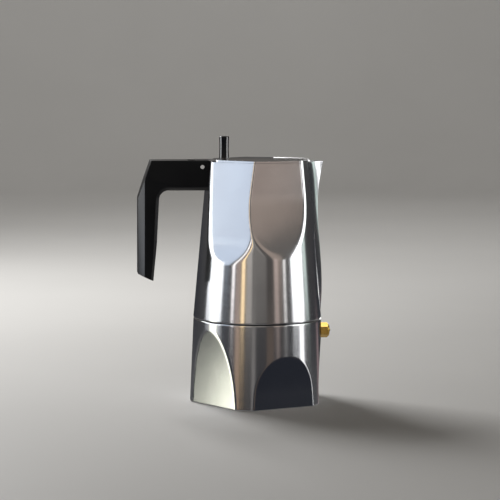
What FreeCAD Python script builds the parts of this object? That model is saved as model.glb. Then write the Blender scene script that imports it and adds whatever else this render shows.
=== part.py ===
import FreeCAD, Part
import math
import os
import Sketcher
from types import SimpleNamespace

# A stove-top moka pot in cast aluminium: a boiler with a safety valve, a coffee funnel, a gasket with its
# filter plate, and a collector that screws onto the boiler and carries the lid and the black handle.
# Frame: millimetres, +Z up, the origin at the centre of the boiler's foot. The handle points to -X and the
# spout to +X.

# Driving sizes: name, value, meaning. Lengths are in millimetres and azimuths in degrees from the spout.
SIZES = (
    ("shoulder_radius", 47.4, "boiler at the seam"),
    ("foot_flare", 2.4, "boiler's foot beyond its shoulder"),
    ("skirt_lap", 0.1, "collector's skirt beyond the shoulder"),
    ("body_taper", 9.8, "collector's rim inside its skirt"),
    ("seam_height", 62.0, "top of the boiler's shoulder"),
    ("seam_gap", 0.6, "dark line between boiler and collector"),
    ("rim_height", 178.0, "top edge of the collector"),
    ("wall", 3.0, "cast wall of boiler and collector"),
    ("tool_margin", 4.0, "how far a cutting form passes the metal"),
    ("edge_bevel", 0.8, "broken edge of the shoulder"),
    ("boiler_floor", 4.0, "thickness of the boiler's bottom"),
    ("shoulder_step", 9.4, "ledge between shoulder and neck"),
    ("shoulder_depth", 4.0, "metal under the shoulder"),
    ("neck_wall", 3.6, "metal round the boiler's mouth"),
    ("neck_rise", 13.0, "neck above the shoulder"),
    ("front_foot_facet_top", 55.0, "boiler scoop below the spout, its top"),
    ("front_foot_facet_depth", 6.2, "the same scoop at the table"),
    ("front_foot_facet_curve", 240.0, "the same scoop, radius of its hollow"),
    ("side_foot_facet_azimuth", 69.5, "boiler scoops at the sides"),
    ("side_foot_facet_top", 38.0, "the same scoops, their top"),
    ("side_foot_facet_depth", 5.4, "the same scoops at the table"),
    ("side_foot_facet_curve", 75.0, "the same scoops, radius of their hollow"),
    ("back_foot_facet_azimuth", 143.5, "boiler scoops beside the handle"),
    ("back_foot_facet_top", 55.0, "the same scoops, their top"),
    ("back_foot_facet_depth", 6.0, "the same scoops at the table"),
    ("back_foot_facet_curve", 330.0, "the same scoops, radius of their hollow"),
    ("side_facet_azimuth", 74.6, "collector scoops beside the spout"),
    ("side_facet_drop", 21.0, "the same scoops, straight part below the rim"),
    ("side_facet_depth", 7.75, "the same scoops where the straight part ends"),
    ("side_facet_rim_depth", 6.75, "the same scoops at the rim"),
    ("side_facet_curve", 120.0, "the same scoops, radius of the toe"),
    ("back_facet_azimuth", 127.8, "collector scoops beside the handle"),
    ("back_facet_drop", 30.5, "the same scoops, straight part below the rim"),
    ("back_facet_depth", 5.1, "the same scoops where the straight part ends"),
    ("back_facet_rim_depth", 6.85, "the same scoops at the rim"),
    ("back_facet_curve", 395.0, "the same scoops, radius of the toe"),
    ("spout_low_drop", 68.0, "lower station of the spout below the rim"),
    ("spout_low_bulge", 3.5, "ridge beyond the body at the lower station"),
    ("spout_waist_drop", 23.0, "waist of the spout below the rim"),
    ("spout_waist_bulge", 5.4, "ridge beyond the body at the waist"),
    ("spout_tip_bulge", 10.8, "pouring tip beyond the rim"),
    ("spout_ridge_width", 1.0, "flat along the ridge"),
    ("spout_wall", 3.0, "metal behind the ridge"),
    ("spout_low_spread", 24.0, "half angle of the spout at the lower station"),
    ("spout_waist_spread", 28.0, "half angle at the waist"),
    ("spout_tip_spread", 22.0, "half angle at the rim"),
    ("spout_inner_angle", 4.0, "how much narrower the channel is"),
    ("spout_root", 1.0, "how deep the spout's flanks start in the wall"),
    ("spout_flank_curve", 40.0, "hollow radius of the flanks"),
    ("thread_clearance", 0.5, "between neck and skirt"),
    ("flange_thickness", 0.8, "sheet of the funnel"),
    ("flange_inset", 1.4, "funnel's flange inside the neck's edge"),
    ("basket_clearance", 1.0, "coffee basket in the neck"),
    ("basket_depth", 21.0, "basket below the neck's top"),
    ("screen_ledge", 1.2, "ledge that carries the screen, width and height"),
    ("screen_thickness", 0.8, "sheet of screen and filter plate"),
    ("screen_clearance", 0.1, "round the screen"),
    ("cone_radius", 9.0, "top of the cone below the basket"),
    ("cone_height", 4.0, "cone below the basket"),
    ("stem_radius", 5.0, "outside of the funnel's stem"),
    ("stem_clearance", 6.0, "stem above the boiler's floor"),
    ("hole_radius", 1.2, "holes of screen and filter plate"),
    ("hole_pitch", 9.6, "distance between the rings of holes"),
    ("gasket_clearance", 1.1, "gasket in the skirt"),
    ("gasket_width", 7.2, "gasket from inside to outside"),
    ("gasket_thickness", 4.0, "gasket when tight"),
    ("plate_clearance", 0.2, "round and above the filter plate"),
    ("plate_lift", 0.5, "filter plate above the flange"),
    ("steam_room", 2.0, "hollow under the collector's floor"),
    ("floor_thickness", 4.6, "collector's floor"),
    ("column_radius", 7.0, "column"),
    ("column_bore", 4.0, "inside of the column"),
    ("column_drop", 27.0, "column's top below the rim"),
    ("column_cap", 5.0, "closed end of the column"),
    ("port_radius", 2.6, "two outlets near the column's top"),
    ("lid_gap", 0.2, "between rim and lid"),
    ("lid_thickness", 1.8, "lid plate"),
    ("lid_back_inset", 4.5, "straight back edge of the lid inside the rim"),
    ("pin_offset", 4.5, "hinge pin beyond the rim"),
    ("pin_drop", 3.6, "hinge pin below the rim"),
    ("pin_radius", 1.5, "hinge pin"),
    ("pin_proud", 0.2, "pin end beyond the handle"),
    ("pin_fit", 0.03, "pin in lug and handle"),
    ("hinge_fit", 0.06, "lid turning on the pin"),
    ("knuckle_radius", 3.2, "tongue round the pin"),
    ("tongue_width", 6.2, "lid tongue"),
    ("tongue_tail", 5.0, "tail of the tongue behind the pin"),
    ("tongue_clearance", 0.35, "round the tongue in the lug"),
    ("lug_width", 12.6, "lug on the collector"),
    ("lug_wall", 2.0, "back wall of the lug"),
    ("lug_floor", 5.0, "lug under its slot"),
    ("seat_clearance", 0.15, "handle round collector and lug"),
    ("handle_width", 21.0, "handle from side to side"),
    ("handle_rise", 0.9, "top of the handle above the rim"),
    ("handle_length", 51.4, "back of the handle beyond the rim"),
    ("shoulder_run", 9.5, "sloping back of the handle, its length"),
    ("shoulder_drop", 26.3, "lower end of the sloping back below the rim"),
    ("arm_drop", 21.0, "underside of the arm below the rim"),
    ("leg_depth", 15.4, "leg at the arm, from front to back"),
    ("leg_bend_depth", 13.8, "leg where its inside bends"),
    ("leg_bend_drop", 61.0, "that bend below the rim"),
    ("leg_end_depth", 11.3, "leg at its end"),
    ("leg_end_drop", 87.6, "end of the leg below the rim, inside"),
    ("leg_back_drop", 82.4, "end of the leg below the rim, outside"),
    ("grip_round", 7.0, "round between arm and leg"),
    ("chamfer_length", 4.9, "upright chamfers of the leg, along the side"),
    ("chamfer_width", 4.6, "the same chamfers, across the back"),
    ("grip_chamfer", 2.4, "chamfers round the inside of arm and leg"),
    ("knob_inset", 12.4, "knob inside the rim"),
    ("knob_radius", 3.65, "knob"),
    ("knob_height", 16.4, "knob above the lid"),
    ("knob_bevel", 0.6, "broken top edge of the knob"),
    ("knob_screw_radius", 1.5, "screw through the lid"),
    ("knob_screw_depth", 7.0, "screw inside the knob"),
    ("knob_screw_head", 2.8, "head under the lid"),
    ("handle_screw_offset", 4.3, "handle screw behind the pin"),
    ("handle_screw_radius", 2.0, "screw in the lug"),
    ("handle_screw_head", 3.4, "head below the arm"),
    ("screw_head_thickness", 1.6, "both screw heads"),
    ("screw_fit", 0.03, "screws in their holes"),
    ("screw_end_gap", 0.5, "hole beyond a screw's end"),
    ("valve_drop", 10.2, "valve below the seam"),
    ("valve_spot_depth", 2.6, "flat for the valve, sunk into the wall"),
    ("valve_spot_radius", 6.0, "flat for the valve"),
    ("valve_shank_radius", 4.0, "valve in the wall"),
    ("valve_shank_length", 5.0, "valve inside the wall"),
    ("valve_fit", 0.05, "valve in its hole"),
    ("valve_seal_radius", 5.7, "seal ring"),
    ("valve_seal_thickness", 1.0, "seal ring"),
    ("valve_hex_width", 10.0, "across the valve's flats"),
    ("valve_hex_length", 7.8, "hexagon"),
    ("valve_nose_bevel", 1.6, "bevel of the hexagon's end"),
    ("valve_bore", 2.8, "spring room in the valve"),
    ("valve_inlet_radius", 1.4, "steam hole at the inner end"),
    ("valve_inlet_wall", 1.2, "inner end of the valve"),
    ("plunger_head_radius", 2.4, "head of the plunger"),
    ("plunger_head_length", 1.2, "head of the plunger"),
    ("plunger_gap", 0.1, "plunger to its seat"),
    ("plunger_stem_radius", 1.0, "stem of the plunger"),
    ("plunger_proud", 0.9, "stem beyond the valve"),
    ("plunger_fit", 0.06, "stem in the retainer"),
    ("retainer_length", 1.6, "pressed ring at the outer end"),
    ("spring_radius", 1.85, "middle of the wire"),
    ("spring_wire", 0.6, "width of the square wire"),
    ("spring_turns", 4.0, "turns of the spring"),
    ("spring_end_gap", 0.1, "spring to its two seats"),
)
RING_HOLES = (1, 6, 12)
SPREADSHEET = "Sizes"


class Size:
    """A length that carries its number and the spreadsheet formula behind it."""

    def __init__(self, value, text):
        self.value = value
        self.text = text

    def join(self, other, sign, value):
        return Size(value, "(%s %s %s)" % (self.text, sign, other.text))

    def __add__(self, other):
        other = as_size(other)
        return self.join(other, "+", self.value + other.value)

    def __sub__(self, other):
        other = as_size(other)
        return self.join(other, "-", self.value - other.value)

    def __mul__(self, other):
        other = as_size(other)
        return self.join(other, "*", self.value * other.value)

    def __truediv__(self, other):
        other = as_size(other)
        return self.join(other, "/", self.value / other.value)

    def __neg__(self):
        return as_size(0) - self


def as_size(number):
    if isinstance(number, Size):
        return number
    return Size(float(number), repr(float(number)))


def root(length):
    return Size(math.sqrt(length.value), "sqrt(%s)" % length.text)


def cosine(degrees):
    return Size(math.cos(math.radians(degrees.value)), "cos(%s)" % degrees.text)


def sine(degrees):
    return Size(math.sin(math.radians(degrees.value)), "sin(%s)" % degrees.text)


doc = FreeCAD.newDocument("MokaPot")
sheet = doc.addObject("Spreadsheet::Sheet", SPREADSHEET)
s = SimpleNamespace()
for row, (size_name, size_value, meaning) in enumerate(SIZES, start=1):
    sheet.set("A%d" % row, size_name)
    sheet.set("B%d" % row, str(size_value))
    sheet.set("C%d" % row, meaning)
    sheet.setAlias("B%d" % row, size_name)
    setattr(s, size_name, Size(size_value, "%s.%s" % (SPREADSHEET, size_name)))
doc.recompute()

ZERO = as_size(0)
NODES = {}

# Heights and radii that several pieces share.
skirt_height = s.seam_height + s.seam_gap
neck_top = s.seam_height + s.neck_rise
flange_top = neck_top + s.flange_thickness
gasket_seat = flange_top + s.gasket_thickness
collector_floor = gasket_seat + s.floor_thickness
lid_underside = s.rim_height + s.lid_gap
lid_top = lid_underside + s.lid_thickness
handle_top = s.rim_height + s.handle_rise
arm_underside = s.rim_height - s.arm_drop
pin_height = s.rim_height - s.pin_drop
valve_height = s.seam_height - s.valve_drop
base_radius = s.shoulder_radius + s.foot_flare
skirt_radius = s.shoulder_radius + s.skirt_lap
rim_radius = skirt_radius - s.body_taper
neck_radius = s.shoulder_radius - s.shoulder_step
neck_bore = neck_radius - s.neck_wall
skirt_bore = neck_radius + s.thread_clearance
gasket_radius = skirt_bore - s.gasket_clearance
gasket_bore = gasket_radius - s.gasket_width
plate_rim = gasket_bore - s.plate_clearance
pin_reach = rim_radius + s.pin_offset
screw_reach = pin_reach + s.handle_screw_offset
knob_reach = rim_radius - s.knob_inset
body_slope = s.body_taper / (s.rim_height - skirt_height)
foot_slope = s.foot_flare / s.seam_height
clear_reach = base_radius * 1.5
clear_span = base_radius * 4

# The hinge: the tongue's corner sweeps a circle round the pin, and the lug leaves room for it.
tongue_sweep = root(s.tongue_tail * s.tongue_tail + (lid_top - pin_height) * (lid_top - pin_height))
slot_sweep = tongue_sweep + s.tongue_clearance
slot_floor = pin_height - slot_sweep
lug_back = pin_reach + slot_sweep + s.lug_wall
lug_bottom = slot_floor - s.lug_floor


def body_radius(height):
    return rim_radius + (s.rim_height - height) * body_slope


def foot_radius(height):
    return base_radius - height * foot_slope


valve_seat = foot_radius(valve_height) - s.valve_spot_depth


def node(label, shape_object):
    """Register a finished piece under its own name."""
    shape_object.Label = label
    NODES[label] = shape_object
    return shape_object


def place(piece, x=ZERO, z=ZERO, axis=None, degrees=0.0):
    """Turn a piece about an axis and bind its position to the sheet."""
    if axis is not None:
        piece.Placement = FreeCAD.Placement(FreeCAD.Vector(), FreeCAD.Rotation(axis, degrees))
    piece.setExpression("Placement.Base.x", x.text)
    piece.setExpression("Placement.Base.z", z.text)


def new_body(name):
    return doc.addObject("PartDesign::Body", name)


def new_sketch(body, name, plane):
    sketch = body.newObject("Sketcher::SketchObject", name)
    support = [part for part in body.Origin.OriginFeatures if part.Role == plane][0]
    sketch.AttachmentSupport = (support, "")
    sketch.MapMode = "FlatFace"
    return sketch


def line(x, y):
    return ("line", as_size(x), as_size(y), None, 0)


def arc(x, y, radius, way):
    """An arc to a point, counter-clockwise for way +1 and clockwise for -1."""
    return ("arc", as_size(x), as_size(y), radius, way)


def scoop(x, radius):
    """A counter-clockwise arc, smooth with the line before it, that ends at the given x."""
    return ("scoop", as_size(x), None, radius, 1)


def arc_centre(first, last, radius, way):
    """The centre of the shorter arc between two points."""
    middle = (first + last) * 0.5
    chord = last - first
    height = math.sqrt(max(radius ** 2 - chord.Length ** 2 / 4, 0))
    left = FreeCAD.Vector(-chord.y, chord.x, 0).normalize()
    return middle + left * (height * way)


def draw(sketch, start, steps):
    """Draw a closed outline whose every corner is bound to the sheet."""
    corners = [(as_size(start[0]), as_size(start[1]))]
    points = [FreeCAD.Vector(corners[0][0].value, corners[0][1].value, 0)]
    ends = []
    for index, (kind, x, y, radius, way) in enumerate(steps):
        first = points[-1]
        if kind == "scoop":
            heading = (first - points[-2]).normalize()
            centre = first + FreeCAD.Vector(-heading.y, heading.x, 0) * radius.value
            last_y = centre.y - math.sqrt(radius.value ** 2 - (x.value - centre.x) ** 2)
            last = FreeCAD.Vector(x.value, last_y, 0)
        else:
            last = FreeCAD.Vector(x.value, y.value, 0)
        if kind == "arc":
            centre = arc_centre(first, last, radius.value, way)
        if radius is None:
            sketch.addGeometry(Part.LineSegment(first, last), False)
            ends.append((1, 2))
        else:
            angles = [math.atan2(p.y - centre.y, p.x - centre.x) for p in (first, last)]
            circle = Part.Circle(centre, FreeCAD.Vector(0, 0, 1), radius.value)
            sketch.addGeometry(Part.ArcOfCircle(circle, *angles[::way]), False)
            ends.append((1, 2)[::way])
        points.append(last)
        corners.append((x, y))
    count = len(ends)
    sketch.addGeometry(Part.LineSegment(points[-1], points[0]), False)
    ends.append((1, 2))
    for index in range(count + 1):
        following = (index + 1) % (count + 1)
        smooth = following < count and steps[following][0] == "scoop"
        sketch.addConstraint(Sketcher.Constraint("Tangent" if smooth else "Coincident", index, ends[index][1],
                                                 following, ends[following][0]))
    for index, (x, y) in enumerate(corners):
        bind(sketch, "DistanceX", -2, index, ends[index][0], x)
        bind(sketch, "DistanceY", -1, index, ends[index][0], y)
    for index, (kind, x, y, radius, way) in enumerate(steps):
        if radius is not None:
            number = sketch.addConstraint(Sketcher.Constraint("Radius", index, radius.value))
            sketch.setExpression("Constraints[%d]" % number, radius.text)


def bind(sketch, kind, axis, geometry, end, length):
    """Tie one coordinate of a corner to its formula, or lay the corner on the axis."""
    if length is None:
        return
    if abs(length.value) < 1e-9:
        sketch.addConstraint(Sketcher.Constraint("PointOnObject", geometry, end, axis))
        return
    number = sketch.addConstraint(Sketcher.Constraint(kind, -1, 1, geometry, end, length.value))
    sketch.setExpression("Constraints[%d]" % number, length.text)


def circle_sketch(body, name, plane, x, y, radius):
    sketch = new_sketch(body, name, plane)
    centre = FreeCAD.Vector(x.value, y.value, 0)
    sketch.addGeometry(Part.Circle(centre, FreeCAD.Vector(0, 0, 1), radius.value), False)
    bind(sketch, "DistanceX", -2, 0, 3, x)
    bind(sketch, "DistanceY", -1, 0, 3, y)
    number = sketch.addConstraint(Sketcher.Constraint("Radius", 0, radius.value))
    sketch.setExpression("Constraints[%d]" % number, radius.text)
    return sketch


def turn(body, kind, name, start, steps):
    """A profile in the XZ plane, revolved about Z."""
    sketch = new_sketch(body, name + "Profile", "XZ_Plane")
    draw(sketch, start, steps)
    feature = body.newObject("PartDesign::" + kind, name)
    feature.Profile = sketch
    feature.ReferenceAxis = (sketch, ["V_Axis"])
    feature.Angle = 360
    return feature


def turned(name, start, *steps):
    body = new_body(name)
    turn(body, "Revolution", name + "Turned", start, steps)
    return body


def extrude(body, kind, name, sketch, length):
    """A pad or pocket to both sides of its sketch."""
    feature = body.newObject("PartDesign::" + kind, name)
    feature.Profile = sketch
    feature.SideType = "Symmetric"
    feature.setExpression("Length", length.text)
    return feature


def side_profile(body, kind, name, length, start, *steps):
    sketch = new_sketch(body, name + "Profile", "XZ_Plane")
    draw(sketch, start, steps)
    return extrude(body, kind, name, sketch, length)


def edge_names(feature, wanted):
    """Names of a feature's edges whose middle passes a test."""
    return ["Edge%d" % number for number, edge in enumerate(feature.Shape.Edges, 1)
            if wanted(edge.CenterOfMass)]


def cut(name, base, *tools):
    tool = tools[0]
    if len(tools) > 1:
        tool = doc.addObject("Part::MultiFuse", name + "Tools")
        tool.Shapes = list(tools)
    result = doc.addObject("Part::Cut", name)
    result.Base = base
    result.Tool = tool
    return result


def facet_sketch(body, name, azimuth, sign):
    """A sketch in the upright plane through the axis at a facet's azimuth."""
    sketch = new_sketch(body, name, "XZ_Plane")
    sketch.AttachmentOffset = FreeCAD.Placement(
        FreeCAD.Vector(), FreeCAD.Rotation(FreeCAD.Vector(0, 1, 0), 1))
    sketch.setExpression("AttachmentOffset.Rotation.Angle", (azimuth * sign).text)
    return sketch


def cut_body_facets(body, inset):
    """Scoop the collector's facets, or the same facets of a core that lies inset behind them."""
    for name, azimuth, drop, depth, rim_depth, curve in (
            ("Side", s.side_facet_azimuth, s.side_facet_drop, s.side_facet_depth,
             s.side_facet_rim_depth, s.side_facet_curve),
            ("Back", s.back_facet_azimuth, s.back_facet_drop, s.back_facet_depth,
             s.back_facet_rim_depth, s.back_facet_curve)):
        height = s.rim_height - drop
        low_reach = body_radius(height) - depth - inset
        rim_reach = rim_radius - rim_depth - inset
        over = lid_top + s.tool_margin
        over_reach = rim_reach + (rim_reach - low_reach) * (over - s.rim_height) / drop
        for sign, hand in ((-1, "Near"), (1, "Far")):
            sketch = facet_sketch(body, hand + name + "Facet", azimuth, sign)
            draw(sketch, (over_reach, over),
                 (line(low_reach, height), scoop(clear_reach, curve + inset), line(clear_reach, over)))
            extrude(body, "Pocket", hand + name + "Scoop", sketch, clear_span)


def cut_foot_facets(body, inset):
    """Scoop the boiler's facets, or the same facets of its core."""
    for name, azimuth, top, depth, curve, signs in (
            ("Front", ZERO, s.front_foot_facet_top, s.front_foot_facet_depth,
             s.front_foot_facet_curve, (1,)),
            ("Side", s.side_foot_facet_azimuth, s.side_foot_facet_top, s.side_foot_facet_depth,
             s.side_foot_facet_curve, (-1, 1)),
            ("Back", s.back_foot_facet_azimuth, s.back_foot_facet_top, s.back_foot_facet_depth,
             s.back_foot_facet_curve, (-1, 1))):
        top_reach = foot_radius(top) - inset
        low_reach = base_radius - depth - inset
        for sign in signs:
            hand = "Near" if sign < 0 else "Far"
            sketch = facet_sketch(body, hand + name + "FootFacet", azimuth, sign)
            draw(sketch, (clear_reach, top + clear_reach - top_reach),
                 (line(top_reach, top), arc(low_reach, 0, curve + inset, 1), line(low_reach, -s.tool_margin),
                  line(clear_reach, -s.tool_margin)))
            extrude(body, "Pocket", hand + name + "FootScoop", sketch, clear_span)


def spout_section(body, name, height, reach, spread, inset, hollow):
    """One level cut through the spout: two flanks, hollow or flat, that meet in a narrow ridge."""
    sketch = new_sketch(body, name, "XY_Plane")
    sketch.setExpression("AttachmentOffset.Base.z", height.text)
    depth = body_radius(height) - inset - s.spout_root
    root_x = depth * cosine(spread)
    root_y = depth * sine(spread)
    half_ridge = s.spout_ridge_width / 2
    if hollow:
        near = arc(reach, -half_ridge, s.spout_flank_curve, -1)
        far = arc(root_x, root_y, s.spout_flank_curve, -1)
    else:
        near = line(reach, -half_ridge)
        far = line(root_x, root_y)
    draw(sketch, (root_x, -root_y), (near, line(reach, half_ridge), far))
    return sketch


def spout_loft(body, name, stations, inset, hollow):
    """A loft up the spout: smooth with hollow flanks outside, straight from cut to cut inside."""
    sections = []
    for number, (height, reach, spread) in enumerate(stations):
        label = "%sStation%d" % (name, number)
        sections.append(spout_section(body, label, height, reach, spread, inset, hollow))
    loft = body.newObject("PartDesign::AdditiveLoft", name)
    loft.Profile = sections[0]
    loft.Sections = sections[1:]
    loft.Ruled = not hollow
    return loft


def perforate(body, height, thickness):
    """Rings of small six-sided holes through a sheet."""
    for ring, holes in enumerate(RING_HOLES):
        reach = s.hole_pitch * ring
        corners = []
        for side in range(6):
            angle = math.pi * side / 3
            corners.append((reach + s.hole_radius * math.cos(angle), s.hole_radius * math.sin(angle)))
        sketch = new_sketch(body, "Hole%d" % ring, "XY_Plane")
        draw(sketch, corners[0], [line(*corner) for corner in corners[1:]])
        sketch.setExpression("AttachmentOffset.Base.z", (height + thickness / 2).text)
        hole = extrude(body, "Pocket", "HoleCut%d" % ring, sketch, thickness * 2)
        if holes > 1:
            doc.recompute()
            pattern = body.newObject("PartDesign::PolarPattern", "HoleRing%d" % ring)
            pattern.Originals = [hole]
            pattern.Axis = (sketch, ["N_Axis"])
            pattern.Angle = 360
            pattern.Occurrences = holes
            body.Tip = pattern


# Boiler: a solid cone with its scoops, hollowed by a core with the same scoops one wall further in.
def boiler():
    outer = turned(
        "BoilerForm", (ZERO, ZERO),
        line(base_radius, 0),
        line(s.shoulder_radius, s.seam_height - s.edge_bevel),
        line(s.shoulder_radius - s.edge_bevel, s.seam_height),
        line(neck_radius, s.seam_height),
        line(neck_radius, neck_top),
        line(0, neck_top))
    cut_foot_facets(outer, ZERO)
    ceiling = s.seam_height - s.shoulder_depth
    core = turned(
        "BoilerCore", (ZERO, s.boiler_floor),
        line(s.shoulder_radius - s.wall, s.boiler_floor),
        line(s.shoulder_radius - s.wall, ceiling),
        line(neck_bore, ceiling),
        line(neck_bore, neck_top + s.tool_margin),
        line(0, neck_top + s.tool_margin))
    cut_foot_facets(core, s.wall)
    bore = s.valve_shank_radius + s.valve_fit
    inside = -(s.valve_shank_length + s.tool_margin)
    valve_hole = turned(
        "ValveHole", (ZERO, inside),
        line(bore, inside),
        line(bore, 0),
        line(s.valve_spot_radius, 0),
        line(s.valve_spot_radius, s.valve_hex_length),
        line(0, s.valve_hex_length))
    place(valve_hole, valve_seat, valve_height, FreeCAD.Vector(0, 1, 0), 90)
    node("boiler", cut("Boiler", outer, core, valve_hole))


# Safety valve: its own axis is Z here, from the boiler's inside outward, and then turned to point along +X.
def valve():
    inner_end = -s.valve_shank_length
    hex_start = s.valve_seal_thickness
    hex_end = hex_start + s.valve_hex_length
    head_start = inner_end + s.valve_inlet_wall + s.plunger_gap
    head_end = head_start + s.plunger_head_length
    retainer_start = hex_end - s.retainer_length
    corner = s.valve_hex_width / math.sqrt(3)

    body = turned(
        "ValveBody", (s.valve_inlet_radius, inner_end),
        line(s.valve_shank_radius, inner_end),
        line(s.valve_shank_radius, hex_start),
        line(corner, hex_start),
        line(corner, hex_end - s.valve_nose_bevel),
        line(corner - s.valve_nose_bevel, hex_end),
        line(s.valve_bore, hex_end),
        line(s.valve_bore, inner_end + s.valve_inlet_wall),
        line(s.valve_inlet_radius, inner_end + s.valve_inlet_wall))
    flats = new_sketch(body, "HexFlat", "YZ_Plane")
    past_end = hex_end + s.tool_margin
    draw(flats, (s.valve_hex_width / 2, hex_start),
         (line(corner * 2, hex_start), line(corner * 2, past_end), line(s.valve_hex_width / 2, past_end)))
    flat = extrude(body, "Pocket", "HexFlatCut", flats, corner * 4)
    doc.recompute()
    pattern = body.newObject("PartDesign::PolarPattern", "HexFlats")
    pattern.Originals = [flat]
    pattern.Axis = (flats, ["V_Axis"])
    pattern.Angle = 360
    pattern.Occurrences = 6
    body.Tip = pattern

    seal = turned(
        "ValveSeal", (s.valve_shank_radius + s.valve_fit, ZERO),
        line(s.valve_seal_radius, 0),
        line(s.valve_seal_radius, s.valve_seal_thickness),
        line(s.valve_shank_radius + s.valve_fit, s.valve_seal_thickness))
    plunger = turned(
        "ValvePlunger", (ZERO, inner_end + s.plunger_gap),
        line(s.valve_inlet_radius / 2, inner_end + s.plunger_gap),
        line(s.valve_inlet_radius - s.plunger_gap, head_start),
        line(s.plunger_head_radius, head_start),
        line(s.plunger_head_radius, head_end),
        line(s.plunger_stem_radius, head_end),
        line(s.plunger_stem_radius, hex_end + s.plunger_proud),
        line(0, hex_end + s.plunger_proud))
    retainer = turned(
        "ValveRetainer", (s.plunger_stem_radius + s.plunger_fit, retainer_start),
        line(s.valve_bore - s.screw_fit, retainer_start),
        line(s.valve_bore - s.screw_fit, hex_end),
        line(s.plunger_stem_radius + s.plunger_fit, hex_end))
    spring = doc.addObject("Part::Feature", "ValveSpring")
    spring.Shape = coil((head_end + s.spring_wire / 2 + s.spring_end_gap).value,
                        (retainer_start - s.spring_wire / 2 - s.spring_end_gap).value)
    for label, piece in (("valve_body", body), ("valve_seal", seal), ("valve_plunger", plunger),
                         ("valve_retainer", retainer), ("valve_spring", spring)):
        place(piece, valve_seat, valve_height, FreeCAD.Vector(0, 1, 0), 90)
        node(label, piece)


def coil(low, high):
    """A coil of square wire: tilted half circles that follow on smoothly, because each leaves along Y."""
    radius = s.spring_radius.value
    halves = round(s.spring_turns.value * 2)
    climb = (high - low) / halves
    ends = [FreeCAD.Vector(radius * (-1) ** step, 0, low + climb * step) for step in range(halves + 1)]
    edges = []
    for step in range(halves):
        middle = (ends[step] + ends[step + 1]) * 0.5
        swing = (ends[step + 1] - ends[step]).Length / 2
        crown = middle + FreeCAD.Vector(0, swing * (-1) ** step, 0)
        edges.append(Part.Arc(ends[step], crown, ends[step + 1]).toShape())
    half = s.spring_wire.value / 2
    corners = [ends[0] + FreeCAD.Vector(x * half, 0, z * half)
               for x, z in ((1, 1), (-1, 1), (-1, -1), (1, -1))]
    section = Part.makePolygon(corners + corners[:1])
    tube = Part.Wire(edges).makePipeShell([section], True, False)
    print("valve spring: gap between turns %.2f mm" % (2 * climb - s.spring_wire.value))
    return tube


# Funnel: one sheet, flange, basket, cone and stem, with a ledge that carries the perforated screen.
def funnel():
    sheet_wall = s.flange_thickness
    flange_radius = neck_radius - s.flange_inset
    basket_radius = neck_bore - s.basket_clearance
    basket_inside = basket_radius - sheet_wall
    basket_floor = neck_top - s.basket_depth
    floor_top = basket_floor + sheet_wall
    ledge = floor_top + s.screen_ledge
    cone_end = basket_floor - s.cone_height
    stem_end = s.boiler_floor + s.stem_clearance
    stem_inside = s.stem_radius - sheet_wall
    piece = turned(
        "Funnel", (flange_radius, flange_top),
        line(basket_inside, flange_top),
        line(basket_inside, ledge),
        line(basket_inside - s.screen_ledge, ledge),
        line(basket_inside - s.screen_ledge, floor_top),
        line(s.cone_radius - sheet_wall, floor_top),
        line(stem_inside, cone_end),
        line(stem_inside, stem_end),
        line(s.stem_radius, stem_end),
        line(s.stem_radius, cone_end),
        line(s.cone_radius, basket_floor),
        line(basket_radius, basket_floor),
        line(basket_radius, neck_top),
        line(flange_radius, neck_top))
    node("funnel", piece)
    screen_radius = basket_inside - s.screen_clearance
    screen = turned(
        "FunnelScreen", (ZERO, ledge),
        line(screen_radius, ledge),
        line(screen_radius, ledge + s.screen_thickness),
        line(0, ledge + s.screen_thickness))
    perforate(screen, ledge, s.screen_thickness)
    node("funnel_screen", screen)


# Seal pack: a flat silicone ring round a shallow perforated cup.
def seal_pack():
    gasket = turned(
        "Gasket", (gasket_bore, flange_top),
        line(gasket_radius, flange_top),
        line(gasket_radius, gasket_seat),
        line(gasket_bore, gasket_seat))
    node("gasket", gasket)
    low = flange_top + s.plate_lift
    top = gasket_seat - s.plate_clearance
    plate = turned(
        "FilterPlate", (ZERO, low),
        line(plate_rim, low),
        line(plate_rim, top),
        line(plate_rim - s.screen_thickness, top),
        line(plate_rim - s.screen_thickness, low + s.screen_thickness),
        line(0, low + s.screen_thickness))
    perforate(plate, low, s.screen_thickness)
    node("filter_plate", plate)


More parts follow.
